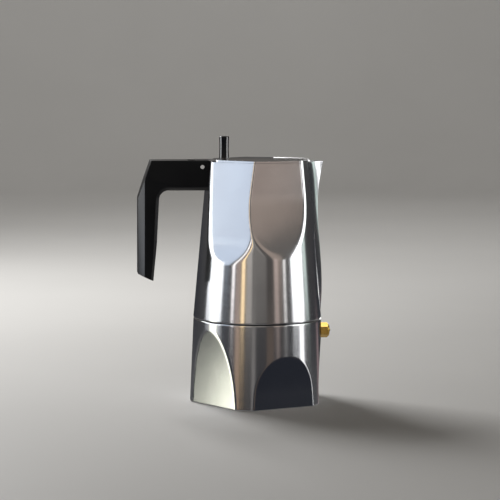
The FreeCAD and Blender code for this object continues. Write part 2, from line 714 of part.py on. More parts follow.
# Collector: the tall faceted vessel with its spout and hinge lug, hollowed above and below its floor.
def collector():
    low_station = s.rim_height - s.spout_low_drop
    waist_station = s.rim_height - s.spout_waist_drop
    low_reach = body_radius(low_station) + s.spout_low_bulge
    waist_reach = body_radius(waist_station) + s.spout_waist_bulge
    tip_reach = rim_radius + s.spout_tip_bulge
    outer = turned(
        "CollectorForm", (ZERO, skirt_height),
        line(skirt_radius, skirt_height),
        line(rim_radius, s.rim_height),
        line(0, s.rim_height))
    spout_loft(outer, "Spout", (
        (skirt_height, skirt_radius - s.edge_bevel, s.spout_low_spread),
        (low_station, low_reach, s.spout_low_spread),
        (waist_station, waist_reach, s.spout_waist_spread),
        (s.rim_height, tip_reach, s.spout_tip_spread)), ZERO, True)
    cut_body_facets(outer, ZERO)

    lug_front = rim_radius - s.wall / 2
    slot_front = pin_reach - s.knuckle_radius - s.tongue_clearance
    slot_back = pin_reach + slot_sweep
    side_profile(outer, "Pad", "Lug", s.lug_width, (-lug_front, s.rim_height),
                 line(-lug_back, s.rim_height),
                 line(-lug_back, lug_bottom),
                 line(-lug_front, lug_bottom))
    side_profile(outer, "Pocket", "TongueSlot", s.tongue_width + s.tongue_clearance * 2,
                 (-slot_front, slot_floor),
                 line(-slot_front, lid_top),
                 line(-slot_back, lid_top),
                 line(-slot_back, slot_floor))
    pin_hole = circle_sketch(outer, "PinHole", "XZ_Plane", -pin_reach, pin_height,
                             s.pin_radius + s.pin_fit)
    extrude(outer, "Pocket", "PinHoleCut", pin_hole, s.handle_width)

    column_top = s.rim_height - s.column_drop
    column_shoulder = column_top - s.column_cap
    chamber = turned(
        "ChamberCore", (s.column_radius, collector_floor),
        line(body_radius(collector_floor) - s.wall, collector_floor),
        line(body_radius(lid_top) - s.wall, lid_top),
        line(0, lid_top),
        line(0, column_top),
        line(s.column_radius / 2, column_top),
        line(s.column_radius, column_shoulder))
    cut_body_facets(chamber, s.wall)
    channel = new_body("SpoutChannel")
    channel_foot = collector_floor + s.wall
    spout_loft(channel, "Channel", (
        (channel_foot, body_radius(channel_foot) - s.wall, s.spout_low_spread),
        (low_station, low_reach - s.spout_wall, s.spout_low_spread - s.spout_inner_angle),
        (waist_station, waist_reach - s.spout_wall, s.spout_waist_spread - s.spout_inner_angle),
        (s.rim_height, tip_reach - s.spout_wall, s.spout_tip_spread - s.spout_inner_angle)), s.wall, False)
    steam_radius = plate_rim - s.screen_thickness
    skirt = turned(
        "SkirtCore", (ZERO, s.seam_height),
        line(skirt_bore, s.seam_height),
        line(skirt_bore, gasket_seat),
        line(steam_radius, gasket_seat),
        line(steam_radius, gasket_seat + s.steam_room),
        line(s.column_bore, gasket_seat + s.steam_room),
        line(s.column_bore, column_shoulder),
        line(0, column_shoulder))
    ports = doc.addObject("Part::Cylinder", "ColumnPorts")
    ports.setExpression("Radius", s.port_radius.text)
    ports.setExpression("Height", (s.column_radius * 4).text)
    ports.Placement = FreeCAD.Placement(FreeCAD.Vector(), FreeCAD.Rotation(FreeCAD.Vector(1, 0, 0), 90))
    ports.setExpression("Placement.Base.y", (s.column_radius * 2).text)
    ports.setExpression("Placement.Base.z", (column_shoulder - s.port_radius * 2).text)
    screw_hole = doc.addObject("Part::Cylinder", "LugScrewHole")
    screw_hole.setExpression("Radius", (s.handle_screw_radius + s.screw_fit).text)
    screw_hole.setExpression("Height", s.lug_floor.text)
    place(screw_hole, -screw_reach, lug_bottom - s.screw_end_gap)
    node("collector", cut("Collector", outer, chamber, channel, skirt, ports, screw_hole))


# Lid: the top slice of the same faceted cone, cut straight at the back, with a tongue for the hinge pin.
def lid():
    lid_back = rim_radius - s.lid_back_inset
    plate = turned(
        "Lid", (ZERO, lid_underside),
        line(body_radius(lid_underside), lid_underside),
        line(body_radius(lid_top), lid_top),
        line(0, lid_top))
    cut_body_facets(plate, ZERO)
    side_profile(plate, "Pocket", "LidBack", clear_span, (-lid_back, s.rim_height),
                 line(-lid_back, lid_top + s.tool_margin),
                 line(-clear_reach, lid_top + s.tool_margin),
                 line(-clear_reach, s.rim_height))
    tongue_root = lid_back - s.wall
    knuckle_front = -(pin_reach - s.knuckle_radius)
    knuckle_back = -(pin_reach + s.knuckle_radius)
    tail = -(pin_reach + s.tongue_tail)
    side_profile(plate, "Pad", "Tongue", s.tongue_width, (-tongue_root, lid_top),
                 line(tail, lid_top),
                 line(tail, lid_underside),
                 line(knuckle_back, pin_height),
                 arc(-pin_reach, pin_height - s.knuckle_radius, s.knuckle_radius, 1),
                 arc(knuckle_front, pin_height, s.knuckle_radius, 1),
                 line(knuckle_front, lid_underside),
                 line(-tongue_root, lid_underside))
    pin_hole = circle_sketch(plate, "LidPinHole", "XZ_Plane", -pin_reach, pin_height,
                             s.pin_radius + s.hinge_fit)
    extrude(plate, "Pocket", "LidPinHoleCut", pin_hole, s.handle_width)
    screw_hole = circle_sketch(plate, "KnobScrewHole", "XY_Plane", -knob_reach, ZERO,
                               s.knob_screw_radius + s.screw_fit)
    screw_hole.setExpression("AttachmentOffset.Base.z", lid_top.text)
    extrude(plate, "Pocket", "KnobScrewHoleCut", screw_hole, s.lid_thickness * 4)
    node("lid", plate)

    bore = s.knob_screw_radius + s.screw_fit
    knob = turned(
        "LidKnob", (bore, ZERO),
        line(s.knob_radius, 0),
        line(s.knob_radius, s.knob_height - s.knob_bevel),
        line(s.knob_radius - s.knob_bevel, s.knob_height),
        line(0, s.knob_height),
        line(0, s.knob_screw_depth + s.screw_end_gap),
        line(bore, s.knob_screw_depth + s.screw_end_gap))
    place(knob, -knob_reach, lid_top)
    node("lid_knob", knob)
    head_bottom = -(s.lid_thickness + s.screw_head_thickness)
    screw = turned(
        "KnobScrew", (ZERO, head_bottom),
        line(s.knob_screw_head, head_bottom),
        line(s.knob_screw_head, -s.lid_thickness),
        line(s.knob_screw_radius, -s.lid_thickness),
        line(s.knob_screw_radius, s.knob_screw_depth),
        line(0, s.knob_screw_depth))
    place(screw, -knob_reach, lid_top)
    node("knob_screw", screw)


# Handle: a side profile with an arm and a leg, fitted round the collector's wall and its lug.
def handle():
    body = new_body("Handle")
    inside = rim_radius - s.wall * 2
    back = rim_radius + s.handle_length
    leg_inside = back - s.leg_depth
    leg_end = back - s.leg_end_depth
    form = side_profile(body, "Pad", "HandleForm", s.handle_width, (-inside, handle_top),
                        line(-(back - s.shoulder_run), handle_top),
                        line(-back, s.rim_height - s.shoulder_drop),
                        line(-back, s.rim_height - s.leg_back_drop),
                        line(-leg_end, s.rim_height - s.leg_end_drop),
                        line(-(back - s.leg_bend_depth), s.rim_height - s.leg_bend_drop),
                        line(-leg_inside, arm_underside - s.grip_round),
                        arc(-(leg_inside - s.grip_round), arm_underside, s.grip_round, -1),
                        line(-inside, arm_underside))
    doc.recompute()
    side = s.handle_width / 2
    level = arm_underside.value + s.pin_fit.value
    soft = body.newObject("PartDesign::Chamfer", "GripChamfer")
    soft.Base = (form, edge_names(form, lambda middle: abs(middle.y) > side.value / 2
                                  and middle.x > -leg_end.value and middle.z < level))
    soft.setExpression("Size", s.grip_chamfer.text)
    low = arm_underside - s.tool_margin
    high = handle_top + s.tool_margin
    turn(body, "Groove", "CollectorSeat", (ZERO, low),
         (line(body_radius(low) + s.seat_clearance, low),
          line(body_radius(high) + s.seat_clearance, high),
          line(0, high)))
    side_profile(body, "Pocket", "LugSlot", s.lug_width + s.seat_clearance * 2,
                 (-inside, lug_bottom - s.seat_clearance),
                 line(-inside, high),
                 line(-(lug_back + s.seat_clearance), high),
                 line(-(lug_back + s.seat_clearance), lug_bottom - s.seat_clearance))
    past_back = back + s.tool_margin
    past_side = side + s.tool_margin
    for sign, hand in ((-1, "Near"), (1, "Far")):
        corner = new_sketch(body, hand + "Corner", "XY_Plane")
        draw(corner, (-past_back, past_side * sign),
             (line(-(back - s.chamfer_length), past_side * sign),
              line(-(back - s.chamfer_length), side * sign),
              line(-back, (side - s.chamfer_width) * sign),
              line(-past_back, (side - s.chamfer_width) * sign)))
        extrude(body, "Pocket", hand + "Chamfer", corner, lid_top * 3)
    pin_hole = circle_sketch(body, "HandlePinHole", "XZ_Plane", -pin_reach, pin_height,
                             s.pin_radius + s.pin_fit)
    extrude(body, "Pocket", "HandlePinHoleCut", pin_hole, s.handle_width * 2)
    screw_room = turned(
        "HandleScrewRoom", (ZERO, -s.tool_margin),
        line(s.handle_screw_head + s.seat_clearance, -s.tool_margin),
        line(s.handle_screw_head + s.seat_clearance, s.screw_head_thickness),
        line(s.handle_screw_radius + s.seat_clearance, s.screw_head_thickness),
        line(s.handle_screw_radius + s.seat_clearance, s.lug_floor * 2),
        line(0, s.lug_floor * 2))
    place(screw_room, -screw_reach, arm_underside)
    node("handle", cut("HandlePiece", body, screw_room))

    head_top = arm_underside + s.screw_head_thickness
    screw_end = slot_floor - s.screw_end_gap * 2
    screw = turned(
        "HandleScrew", (ZERO, arm_underside),
        line(s.handle_screw_head, arm_underside),
        line(s.handle_screw_head, head_top),
        line(s.handle_screw_radius, head_top),
        line(s.handle_screw_radius, screw_end),
        line(0, screw_end))
    place(screw, -screw_reach)
    node("handle_screw", screw)
    pin_half = s.handle_width / 2 + s.pin_proud
    pin = turned(
        "HingePin", (ZERO, -pin_half),
        line(s.pin_radius, -pin_half),
        line(s.pin_radius, pin_half),
        line(0, pin_half))
    place(pin, -pin_reach, pin_height, FreeCAD.Vector(1, 0, 0), 90)
    node("hinge_pin", pin)


def export():
    """Recompute, refuse anything that failed, and write one file for each piece."""
    doc.recompute()
    failed = [thing.Name for thing in doc.Objects if {"Invalid", "Error"} & set(thing.State)]
    if failed:
        raise RuntimeError("failed objects: %s" % ", ".join(failed))
    for label, piece in NODES.items():
        if piece.Shape.isNull() or not piece.Shape.isValid() or not piece.Shape.Solids:
            raise RuntimeError("bad shape: " + label)
    os.makedirs("parts", exist_ok=True)
    for label, piece in NODES.items():
        piece.Shape.exportStep("parts/%s.step" % label)
        print("%-15s %d solid  %9.1f mm3" % (label, len(piece.Shape.Solids), piece.Shape.Volume))


boiler()
valve()
funnel()
seal_pack()
collector()
lid()
handle()
export()
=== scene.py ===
# %% [markdown]
# # A stove-top coffee pot with scooped facets
#
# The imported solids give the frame: every piece below is in metres, in the same axes.
# The pot stands on its foot at the origin, +Z is up, the spout points to +X and the handle to -X.
# The metal forms are made again here with soft edges, because light on polished metal shows every edge.
# The solids could be bevelled instead, but a facet that fades out into a cone has no edge to bevel.

# %% Load the frame
import math

import bmesh
import bpy
import numpy as np
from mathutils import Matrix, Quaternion, Vector


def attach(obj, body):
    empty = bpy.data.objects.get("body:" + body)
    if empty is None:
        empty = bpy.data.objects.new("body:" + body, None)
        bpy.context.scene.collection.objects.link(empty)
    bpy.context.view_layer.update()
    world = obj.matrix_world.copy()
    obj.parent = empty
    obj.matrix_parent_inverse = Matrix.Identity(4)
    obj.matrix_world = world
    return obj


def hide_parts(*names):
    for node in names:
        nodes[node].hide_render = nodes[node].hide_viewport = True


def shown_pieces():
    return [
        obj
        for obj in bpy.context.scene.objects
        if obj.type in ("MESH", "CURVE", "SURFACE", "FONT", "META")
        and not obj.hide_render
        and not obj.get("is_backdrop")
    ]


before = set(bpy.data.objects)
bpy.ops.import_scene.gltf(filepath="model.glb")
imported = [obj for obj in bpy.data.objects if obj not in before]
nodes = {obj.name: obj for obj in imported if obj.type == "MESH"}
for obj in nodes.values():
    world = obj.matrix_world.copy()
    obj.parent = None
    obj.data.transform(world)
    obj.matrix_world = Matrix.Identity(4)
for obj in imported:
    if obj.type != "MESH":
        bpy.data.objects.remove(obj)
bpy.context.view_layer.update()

MM = 0.001

# %% [markdown]
# ## The body's line
#
# On the real pot, boiler and collector are castings turned to two plain cones that meet at a seam.
# They could be cones from Blender's own menu, but a formula for the radius at each height lets
# every later piece ask where the wall is. All lengths are in millimetres here, and become metres
# when a mesh is made. They are the sizes of the solids. The round of a facet's toe, the softness
# of an edge and the hollow of the spout's flanks are the scene's own.

# %% Sizes of the two cones
BASE, SHOULDER, SEAM = 49.8, 47.4, 62.0
SKIRT, SKIRT_LOW = 47.5, 62.6
RIM, RIM_HEIGHT = 37.7, 178.0


def foot_radius(z):
    """The boiler's cone."""
    return BASE - (BASE - SHOULDER) * z / SEAM


def body_radius(z):
    """The collector's cone, which the lid carries on."""
    return RIM + (RIM_HEIGHT - z) * (SKIRT - RIM) / (RIM_HEIGHT - SKIRT_LOW)


print("across: foot %.1f, seam %.1f, rim %.1f mm" % (2 * BASE, 2 * SHOULDER, 2 * RIM))

# %% [markdown]
# ## The collector's facets
#
# Each facet of the real pot is what a wide cutter leaves that moves straight across the cone.
# A boolean cut could make it, but that leaves knife edges and long thin faces that spoil a reflection.
# So a facet is kept as a line instead: `reach` is its distance from the axis at each height.
# On the collector the line is straight and ends below in a round toe.

# %% Facets of the collector
NO_CUT = 999.0  # farther out than any wall
# Azimuth in degrees, straight length below the rim, depth at its end, depth at the rim, radius of the toe.
COLLECTOR_FACETS = ((74.6, 21.0, 7.75, 6.75, 105.0), (127.8, 53.0, 3.81, 6.85, 52.0))


def collector_scoop(azimuth, drop, depth, rim_depth, curve, inset=0.0):
    """One facet's azimuth and reach; inset moves it inwards, for the inside of the wall."""
    turn_z = RIM_HEIGHT - drop
    low = body_radius(turn_z) - depth - inset
    high = RIM - rim_depth - inset
    along = np.array([low - high, -drop])
    along = along / np.linalg.norm(along)
    radius = curve + inset
    centre = np.array([low, turn_z]) + np.array([-along[1], along[0]]) * radius

    def reach(z):
        straight = low + (high - low) * (z - turn_z) / drop
        inside = np.clip(radius ** 2 - (z - centre[1]) ** 2, 0, None)
        round_toe = np.where(inside > 0, centre[0] - np.sqrt(inside), NO_CUT)
        return np.where(z >= turn_z, straight, round_toe)

    return math.radians(azimuth), reach


def collector_scoops(inset=0.0):
    """The collector's facets, the same on both sides of the pot."""
    return [collector_scoop(sign * azimuth, *line, inset)
            for sign in (-1, 1) for azimuth, *line in COLLECTOR_FACETS]


print("collector:", len(collector_scoops()), "facets")

# %% [markdown]
# ## The boiler's facets
#
# Five scoops cut the boiler: one below the spout, and two on each side of the pot. The line could be
# straight here as well, but one long hollow gives the real facet its soft run of tones.
# Below its deepest point it runs straight down, and above its top it leaves the wall at a slope.

# %% Facets of the boiler
# Azimuth in degrees, height of the top, depth that the whole round would have at the foot, its radius.
SPOUT_SIDE_FACET = (0.0, 55.0, 6.2, 240.0)
FOOT_FACETS = ((69.5, 38.0, 5.4, 75.0), (143.5, 55.0, 6.0, 330.0))
RUN_OUT = 0.6


def round_centre(first, last, radius):
    """The centre of a round through two points, on the left of the way from first to last."""
    chord = last - first
    length = np.linalg.norm(chord)
    side = np.array([-chord[1], chord[0]]) / length
    return (first + last) / 2 + side * math.sqrt(radius ** 2 - length ** 2 / 4)


def boiler_scoop(azimuth, top, depth, curve, inset=0.0):
    """One facet's azimuth and reach; inset moves it inwards, for the inside of the wall."""
    first = np.array([foot_radius(top) - inset, top])
    last = np.array([BASE - depth - inset, 0.0])
    radius = curve + inset
    centre = round_centre(first, last, radius)

    def reach(z):
        above = np.maximum(z, centre[1]) - centre[1]
        hollow = centre[0] - np.sqrt(radius ** 2 - above ** 2)
        return np.where(z <= top, hollow, hollow + (z - top) * RUN_OUT)

    return math.radians(azimuth), reach


def boiler_scoops(inset=0.0):
    """The boiler's facets: one below the spout, the others on both sides."""
    found = [boiler_scoop(*SPOUT_SIDE_FACET, inset)]
    for sign in (-1, 1):
        for azimuth, *line in FOOT_FACETS:
            found.append(boiler_scoop(sign * azimuth, *line, inset))
    return found


print("boiler:", len(boiler_scoops()), "facets")

# %% [markdown]
# ## Soft edges
#
# On a polished casting every edge is rounded by part of a millimetre, and catches a fine line of light.
# A bevel could do that, but not where a facet fades out into the cone. A smooth minimum of the radii
# rounds each edge in the formula itself. Each facet goes deeper by half the rounding, so that
# its outline stays in place.

# %% Smooth minimum of radii
WIDEST = 1.3  # radians to each side of its middle that a facet can reach
FULL_DEPTH = 0.6  # a point this far below the cone lies wholly in a facet


def soft_min(a, b, round_by):
    """The smaller of two radii, with a rounded change from one to the other."""
    h = np.clip(0.5 + 0.5 * (b - a) / round_by, 0, 1)
    return b + (a - b) * h - round_by * h * (1 - h)


def apart(angle, azimuth):
    """The angle between two directions round the axis."""
    return np.abs((angle - azimuth + math.pi) % (2 * math.pi) - math.pi)


def scooped(radius, angle, z, scoops, edge_round, ridge_round):
    """The radius after the scoops, and how far inside a scoop each point lies."""
    cut = np.full_like(radius, NO_CUT)
    for azimuth, reach in scoops:
        away = apart(angle, azimuth)
        facing = np.cos(np.clip(away, 0, WIDEST))
        flat = np.where(away < WIDEST, (reach(z) - edge_round / 2) / facing, NO_CUT)
        cut = soft_min(cut, flat, ridge_round)
    made = soft_min(radius, cut, edge_round)
    return made, np.clip((radius - made) / FULL_DEPTH, 0, 1)


print("an edge rounded by 1.4 mm loses %.2f mm" % -soft_min(0.0, 0.0, 1.4))

# %% [markdown]
# ## The spout
#
# The spout is a fin with hollow flanks that grows out of the wall. It could be pulled out of the mesh with
# proportional editing. Here four stations are given: their heights, how far the ridge stands out,
# and how many degrees to each side the fin starts. A smooth curve gives every height between,
# so the ridge has no kinks for the light to break on.

# %% Spout ridge and flanks
SPOUT_Z = np.array([62.6, 110.0, 155.0, 178.0])
SPOUT_REACH = np.array([46.7, body_radius(110.0) + 3.5, body_radius(155.0) + 5.4, RIM + 10.8])
SPOUT_SPREAD = np.array([24.0, 24.0, 28.0, 22.0])
FLANK, FLANK_STEPS = 31.0, 40
RIDGE_HALF = 0.5  # half the width of the ridge
ROOT_DEPTH = 1.0  # how far inside the wall the flanks start


def through(z, heights, values):
    """A smooth polynomial through all the stations."""
    total = np.zeros_like(z)
    for i, value in enumerate(values):
        weight = np.ones_like(z)
        for j, other in enumerate(heights):
            if j != i:
                weight = weight * (z - other) / (heights[i] - other)
        total = total + value * weight
    return total


def spout_radius(angle, z, inset=0.0, ridge_inset=0.0, narrower=0.0):
    """The fin's radius on a grid of angles and heights: zero where there is no fin."""
    made = np.zeros_like(angle)
    for row in range(z.shape[0]):
        height = np.clip(z[row, :1], SPOUT_Z[0], SPOUT_Z[-1])
        reach = float(through(height, SPOUT_Z, SPOUT_REACH)[0]) - ridge_inset
        spread = math.radians(float(through(height, SPOUT_Z, SPOUT_SPREAD)[0]) - narrower)
        depth = float(body_radius(height[0])) - inset - ROOT_DEPTH
        root = np.array([depth * math.cos(spread), depth * math.sin(spread)])
        tip = np.array([reach, RIDGE_HALF])
        centre = round_centre(root, tip, FLANK)
        start = math.atan2(root[1] - centre[1], root[0] - centre[0])
        end = math.atan2(tip[1] - centre[1], tip[0] - centre[0])
        sweep = (end - start + math.pi) % (2 * math.pi) - math.pi
        steps = start + sweep * np.linspace(0, 1, FLANK_STEPS)
        x = np.append(centre[0] + FLANK * np.cos(steps), reach)
        y = np.append(centre[1] + FLANK * np.sin(steps), 0.0)
        turn = np.arctan2(y, x)
        order = np.argsort(turn)
        away = apart(angle[row], 0.0)
        made[row] = np.interp(away, turn[order], np.hypot(x, y)[order], right=0.0)
    return made


print("spout: stands %.1f mm out at the rim" % (SPOUT_REACH[-1] - RIM))

# %% [markdown]
# ## Rings into meshes
#
# Every turned or scooped form is a stack of closed rings. Blender's Spin and Screw tools also turn a line
# round an axis, but they can't follow facets. One helper makes a ring and another joins rings
# with quads, so a form is only a list of rings and its shading is smooth.

# %% Rings
CROWD = (0.55, 0.16)  # how strongly the points of a ring gather at the spout


def ring_angles(count):
    """Angles round the axis, closer together at the narrow spout ridge."""
    even = np.linspace(0, 2 * math.pi, count, endpoint=False)
    return even - CROWD[0] * np.sin(even) + CROWD[1] * np.sin(2 * even)


TURN = ring_angles(440)


def ring(turn, radius, z, x=0.0, y=0.0):
    """Points round an upright axis; radius and height may differ from point to point."""
    height = np.broadcast_to(z, turn.shape)
    return np.stack([x + radius * np.cos(turn), y + radius * np.sin(turn), height], 1)


def rings_from(angle, radius, z):
    """Rings of points from grids of radius and height."""
    return [ring(*row) for row in zip(angle, radius, z)]


steps = np.degrees(np.diff(TURN))
print("ring: %d points, %.2f to %.2f degrees apart" % (len(TURN), steps.min(), steps.max()))


# %% Meshes and pieces
def stack(name, rings, close_start=False, close_end=False, marks=None):
    """A mesh from rings of points in millimetres; marks say how far inside a scoop each point lies."""
    count = len(rings[0])
    points = np.concatenate(rings) * MM
    faces = []
    for level in range(len(rings) - 1):
        low, high = level * count, (level + 1) * count
        for i in range(count):
            j = (i + 1) % count
            faces.append((low + i, low + j, high + j, high + i))
    if close_start:
        faces.append(tuple(reversed(range(count))))
    if close_end:
        top = (len(rings) - 1) * count
        faces.append(tuple(range(top, top + count)))
    mesh = bpy.data.meshes.new(name)
    mesh.from_pydata(points.tolist(), [], faces)
    if marks is not None:
        layer = mesh.attributes.new("scoop", "FLOAT", "POINT")
        layer.data.foreach_set("value", np.concatenate(marks).astype(np.float32))
    mesh.update()
    return mesh


def placed(name, data):
    """An object in the scene, made of a mesh, a lamp or a camera."""
    made = bpy.data.objects.new(name, data)
    bpy.context.scene.collection.objects.link(made)
    return made


def smooth(mesh, crisp):
    """Shade smoothly, but keep the edges that bend by more than crisp degrees."""
    for polygon in mesh.polygons:
        polygon.use_smooth = True
    mesh.set_sharp_from_angle(angle=math.radians(crisp))


def piece(name, mesh, body, material, crisp=40):
    """A named piece that moves with one body of the pot."""
    made = placed(name, mesh)
    mesh.materials.clear()
    mesh.materials.append(material)
    smooth(mesh, crisp)
    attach(made, body)
    print("%-18s %6d faces" % (name, len(mesh.polygons)))
    return made


# %% [markdown]
# ## Nodes for the finishes
#
# A finish is metal or plastic plus small unevenness: grain, cloudiness, tool marks. Photographs of surfaces
# could be wrapped round the pot, but they need unwrapping and show their tiles. Noise has no seams,
# and can be set to the size of the real marks. These helpers place and join the nodes.

# %% Node helpers
def new_material(name):
    """A material, its nodes and its main shader."""
    material = bpy.data.materials.new(name)
    material.use_nodes = True
    tree = material.node_tree
    return material, tree, tree.nodes["Principled BSDF"]


def add(tree, kind, inputs=None, **settings):
    """One node, with its settings and the values of its sockets."""
    node = tree.nodes.new(kind)
    for key, value in settings.items():
        setattr(node, key, value)
    for key, value in (inputs or {}).items():
        node.inputs[key].default_value = value
    return node


def noise(tree, scale, detail, stretch=(1, 1, 1)):
    """Noise in the pot's own frame, stretched along its axes."""
    place = add(tree, "ShaderNodeTexCoord")
    shape = add(tree, "ShaderNodeMapping", {"Scale": stretch})
    tree.links.new(place.outputs["Object"], shape.inputs["Vector"])
    made = add(tree, "ShaderNodeTexNoise", {"Scale": scale, "Detail": detail})
    tree.links.new(shape.outputs["Vector"], made.inputs["Vector"])
    return made.outputs["Fac"]


def ramp(tree, source, stops):
    """A colour ramp: stops are (place, colour)."""
    made = add(tree, "ShaderNodeValToRGB")
    elements = made.color_ramp.elements
    while len(elements) < len(stops):
        elements.new(0.5)
    for element, (where, colour) in zip(elements, stops):
        element.position = where
        element.color = (*colour, 1)
    tree.links.new(source, made.inputs["Fac"])
    return made.outputs["Color"]


def between(tree, source, low, high):
    """A value from 0 to 1, spread from low to high."""
    made = add(tree, "ShaderNodeMapRange", {"To Min": low, "To Max": high})
    tree.links.new(source, made.inputs["Value"])
    return made.outputs["Result"]


def bump(tree, shader, source, depth):
    """Fine relief in the shading only, its depth in metres."""
    made = add(tree, "ShaderNodeBump", {"Distance": depth})
    tree.links.new(source, made.inputs["Height"])
    tree.links.new(made.outputs["Normal"], shader.inputs["Normal"])


# %% [markdown]
# ## Metals
#
# Boiler and collector are aluminium with fine lathe lines round the axis, which draw each reflection out.
# The lid is smoother, basket and filter are rolled sheet, the valve is brass, pin and screws are steel.
# The lines could be modelled, but they are only thousandths of a millimetre deep. Noise squeezed along
# the axis makes them instead, as a faint bump and a change of roughness. In a facet the finish is
# smoother and the same in all directions: the mark `scoop` of each point changes it there.

# %% Turned metals
CLOUD, CLOUD_DETAIL = 30.0, 4.0
LATHE_LINES, LINE_DETAIL = (40, 40, 3500), 3.0
ROUGH_RANGE = (0.75, 1.3)  # the roughness varies between these shares of its own value
ROUND_THE_AXIS = 0.25  # a quarter turn of the direction in which reflections are drawn out


def turned_metal(name, dark, light, rough, line_depth, scoop_rough=None, drawn_out=0.0):
    """Metal with lathe lines round the axis."""
    material, tree, shader = new_material(name)
    shader.inputs["Metallic"].default_value = 1.0
    cloud = noise(tree, CLOUD, CLOUD_DETAIL)
    tree.links.new(ramp(tree, cloud, ((0.3, dark), (0.7, light))), shader.inputs["Base Color"])
    fine = noise(tree, 1.0, LINE_DETAIL, LATHE_LINES)
    spread = between(tree, fine, rough * ROUGH_RANGE[0], rough * ROUGH_RANGE[1])
    shader.inputs["Anisotropic"].default_value = drawn_out
    shader.inputs["Anisotropic Rotation"].default_value = ROUND_THE_AXIS
    round_axis = add(tree, "ShaderNodeTangent", direction_type="RADIAL", axis="Z")
    tree.links.new(round_axis.outputs["Tangent"], shader.inputs["Tangent"])
    if scoop_rough is not None:
        mark = add(tree, "ShaderNodeAttribute", attribute_name="scoop").outputs["Fac"]
        mixed = add(tree, "ShaderNodeMix", {"B": scoop_rough})
        tree.links.new(mark, mixed.inputs["Factor"])
        tree.links.new(spread, mixed.inputs["A"])
        spread = mixed.outputs["Result"]
        tree.links.new(between(tree, mark, drawn_out, 0.0), shader.inputs["Anisotropic"])
    tree.links.new(spread, shader.inputs["Roughness"])
    bump(tree, shader, fine, line_depth)
    return material


cast_metal = turned_metal("satin_aluminium", (0.52, 0.525, 0.54), (0.59, 0.595, 0.61), 0.19, 0.000006,
                          scoop_rough=0.16, drawn_out=0.7)
lid_metal = turned_metal("lid_aluminium", (0.52, 0.53, 0.55), (0.60, 0.61, 0.63), 0.10, 0.000006)
sheet_metal = turned_metal("sheet_aluminium", (0.52, 0.53, 0.55), (0.62, 0.63, 0.65), 0.30, 0.00001,
                           drawn_out=0.7)
brass = turned_metal("turned_brass", (0.62, 0.40, 0.10), (0.80, 0.56, 0.18), 0.20, 0.00001)
steel = turned_metal("bright_steel", (0.72, 0.73, 0.75), (0.84, 0.85, 0.87), 0.22, 0.000006)
print("metals:", [metal.name for metal in (cast_metal, lid_metal, sheet_metal, brass, steel)])

# %% [markdown]
# ## Black mouldings and rubber
#
# Handle and knob are moulded in black: the handle has a fine satin grain, the knob is polished.
# The seals are pale rubber. One recipe fits all three, with grain of another size and depth,
# and the knob's higher index of refraction gives it its brighter highlights.

# %% Mouldings
TINT, TINT_DETAIL, GRAIN_DETAIL = 60.0, 3.0, 4.0


def moulded(name, dark, light, rough, grain, grain_depth, gloss=1.5):
    """A moulded material: gloss is its index of refraction."""
    material, tree, shader = new_material(name)
    tint = noise(tree, TINT, TINT_DETAIL)
    tree.links.new(ramp(tree, tint, ((0.3, dark), (0.75, light))), shader.inputs["Base Color"])
    fine = noise(tree, grain, GRAIN_DETAIL)
    tree.links.new(between(tree, fine, rough * 0.85, rough * 1.15), shader.inputs["Roughness"])
    bump(tree, shader, fine, grain_depth)
    shader.inputs["IOR"].default_value = gloss
    return material


handle_black = moulded("handle_black", (0.005, 0.005, 0.006), (0.009, 0.009, 0.010), 0.34, 2600.0, 0.00001)
knob_black = moulded("knob_black", (0.006, 0.006, 0.007), (0.011, 0.011, 0.012), 0.12, 900.0, 0.000004,
                     gloss=1.9)
rubber = moulded("seal_rubber", (0.70, 0.69, 0.66), (0.84, 0.83, 0.80), 0.6, 1400.0, 0.00005)
print("mouldings:", [moulding.name for moulding in (handle_black, knob_black, rubber)])

# %% [markdown]
# ## Finishes of the solids
#
# Basket, screens, seals, valve, pin and screws keep their solids and only get a finish. A material could
# be set on each by hand; a list shows at a glance which piece is made of what.

# %% Finishes of the solids
FINISHES = {
    cast_metal: ("boiler", "collector"), lid_metal: ("lid",),
    sheet_metal: ("funnel", "funnel_screen", "filter_plate"), rubber: ("gasket", "valve_seal"),
    brass: ("valve_body", "valve_plunger", "valve_retainer"),
    steel: ("valve_spring", "hinge_pin", "knob_screw", "handle_screw"),
    handle_black: ("handle",), knob_black: ("lid_knob",)}
for material, names in FINISHES.items():
    for name in names:
        nodes[name].data.materials.clear()
        nodes[name].data.materials.append(material)
    print("%-16s" % material.name, *names)


# %% [markdown]
# ## Collector
#
# The collector is cast in one: a tall scooped vessel with a floor, and a threaded skirt below it.
# It could be cut from the solid, but rings with soft edges reflect light without a single flat spot.
# One skin goes from the column's bore, under the floor and down the skirt, round the bottom edge,
# up the outside, over the rim and down the inside to the chamber's floor.

# %% Rings of a wall
def levels(line):
    """Round rings along a line of (radius, height) pairs."""
    return [ring(TURN, radius, z) for radius, z in line]


def plain(count):
    """Marks of rings that no scoop touches."""
    return [np.zeros(len(TURN))] * count


def drawn_in(shape, by, z):
    """A ring of the same shape, moved towards the axis and to another height."""
    flat = np.hypot(shape[:, 0], shape[:, 1])
    share = (flat - by) / flat
    return np.stack([shape[:, 0] * share, shape[:, 1] * share, np.full(len(shape), z)], 1)


def grid(heights):
    """Angle and height of every point of a wall."""
    angle = np.repeat(TURN[None, :], len(heights), 0)
    return angle, np.repeat(heights[:, None], len(TURN), 1)


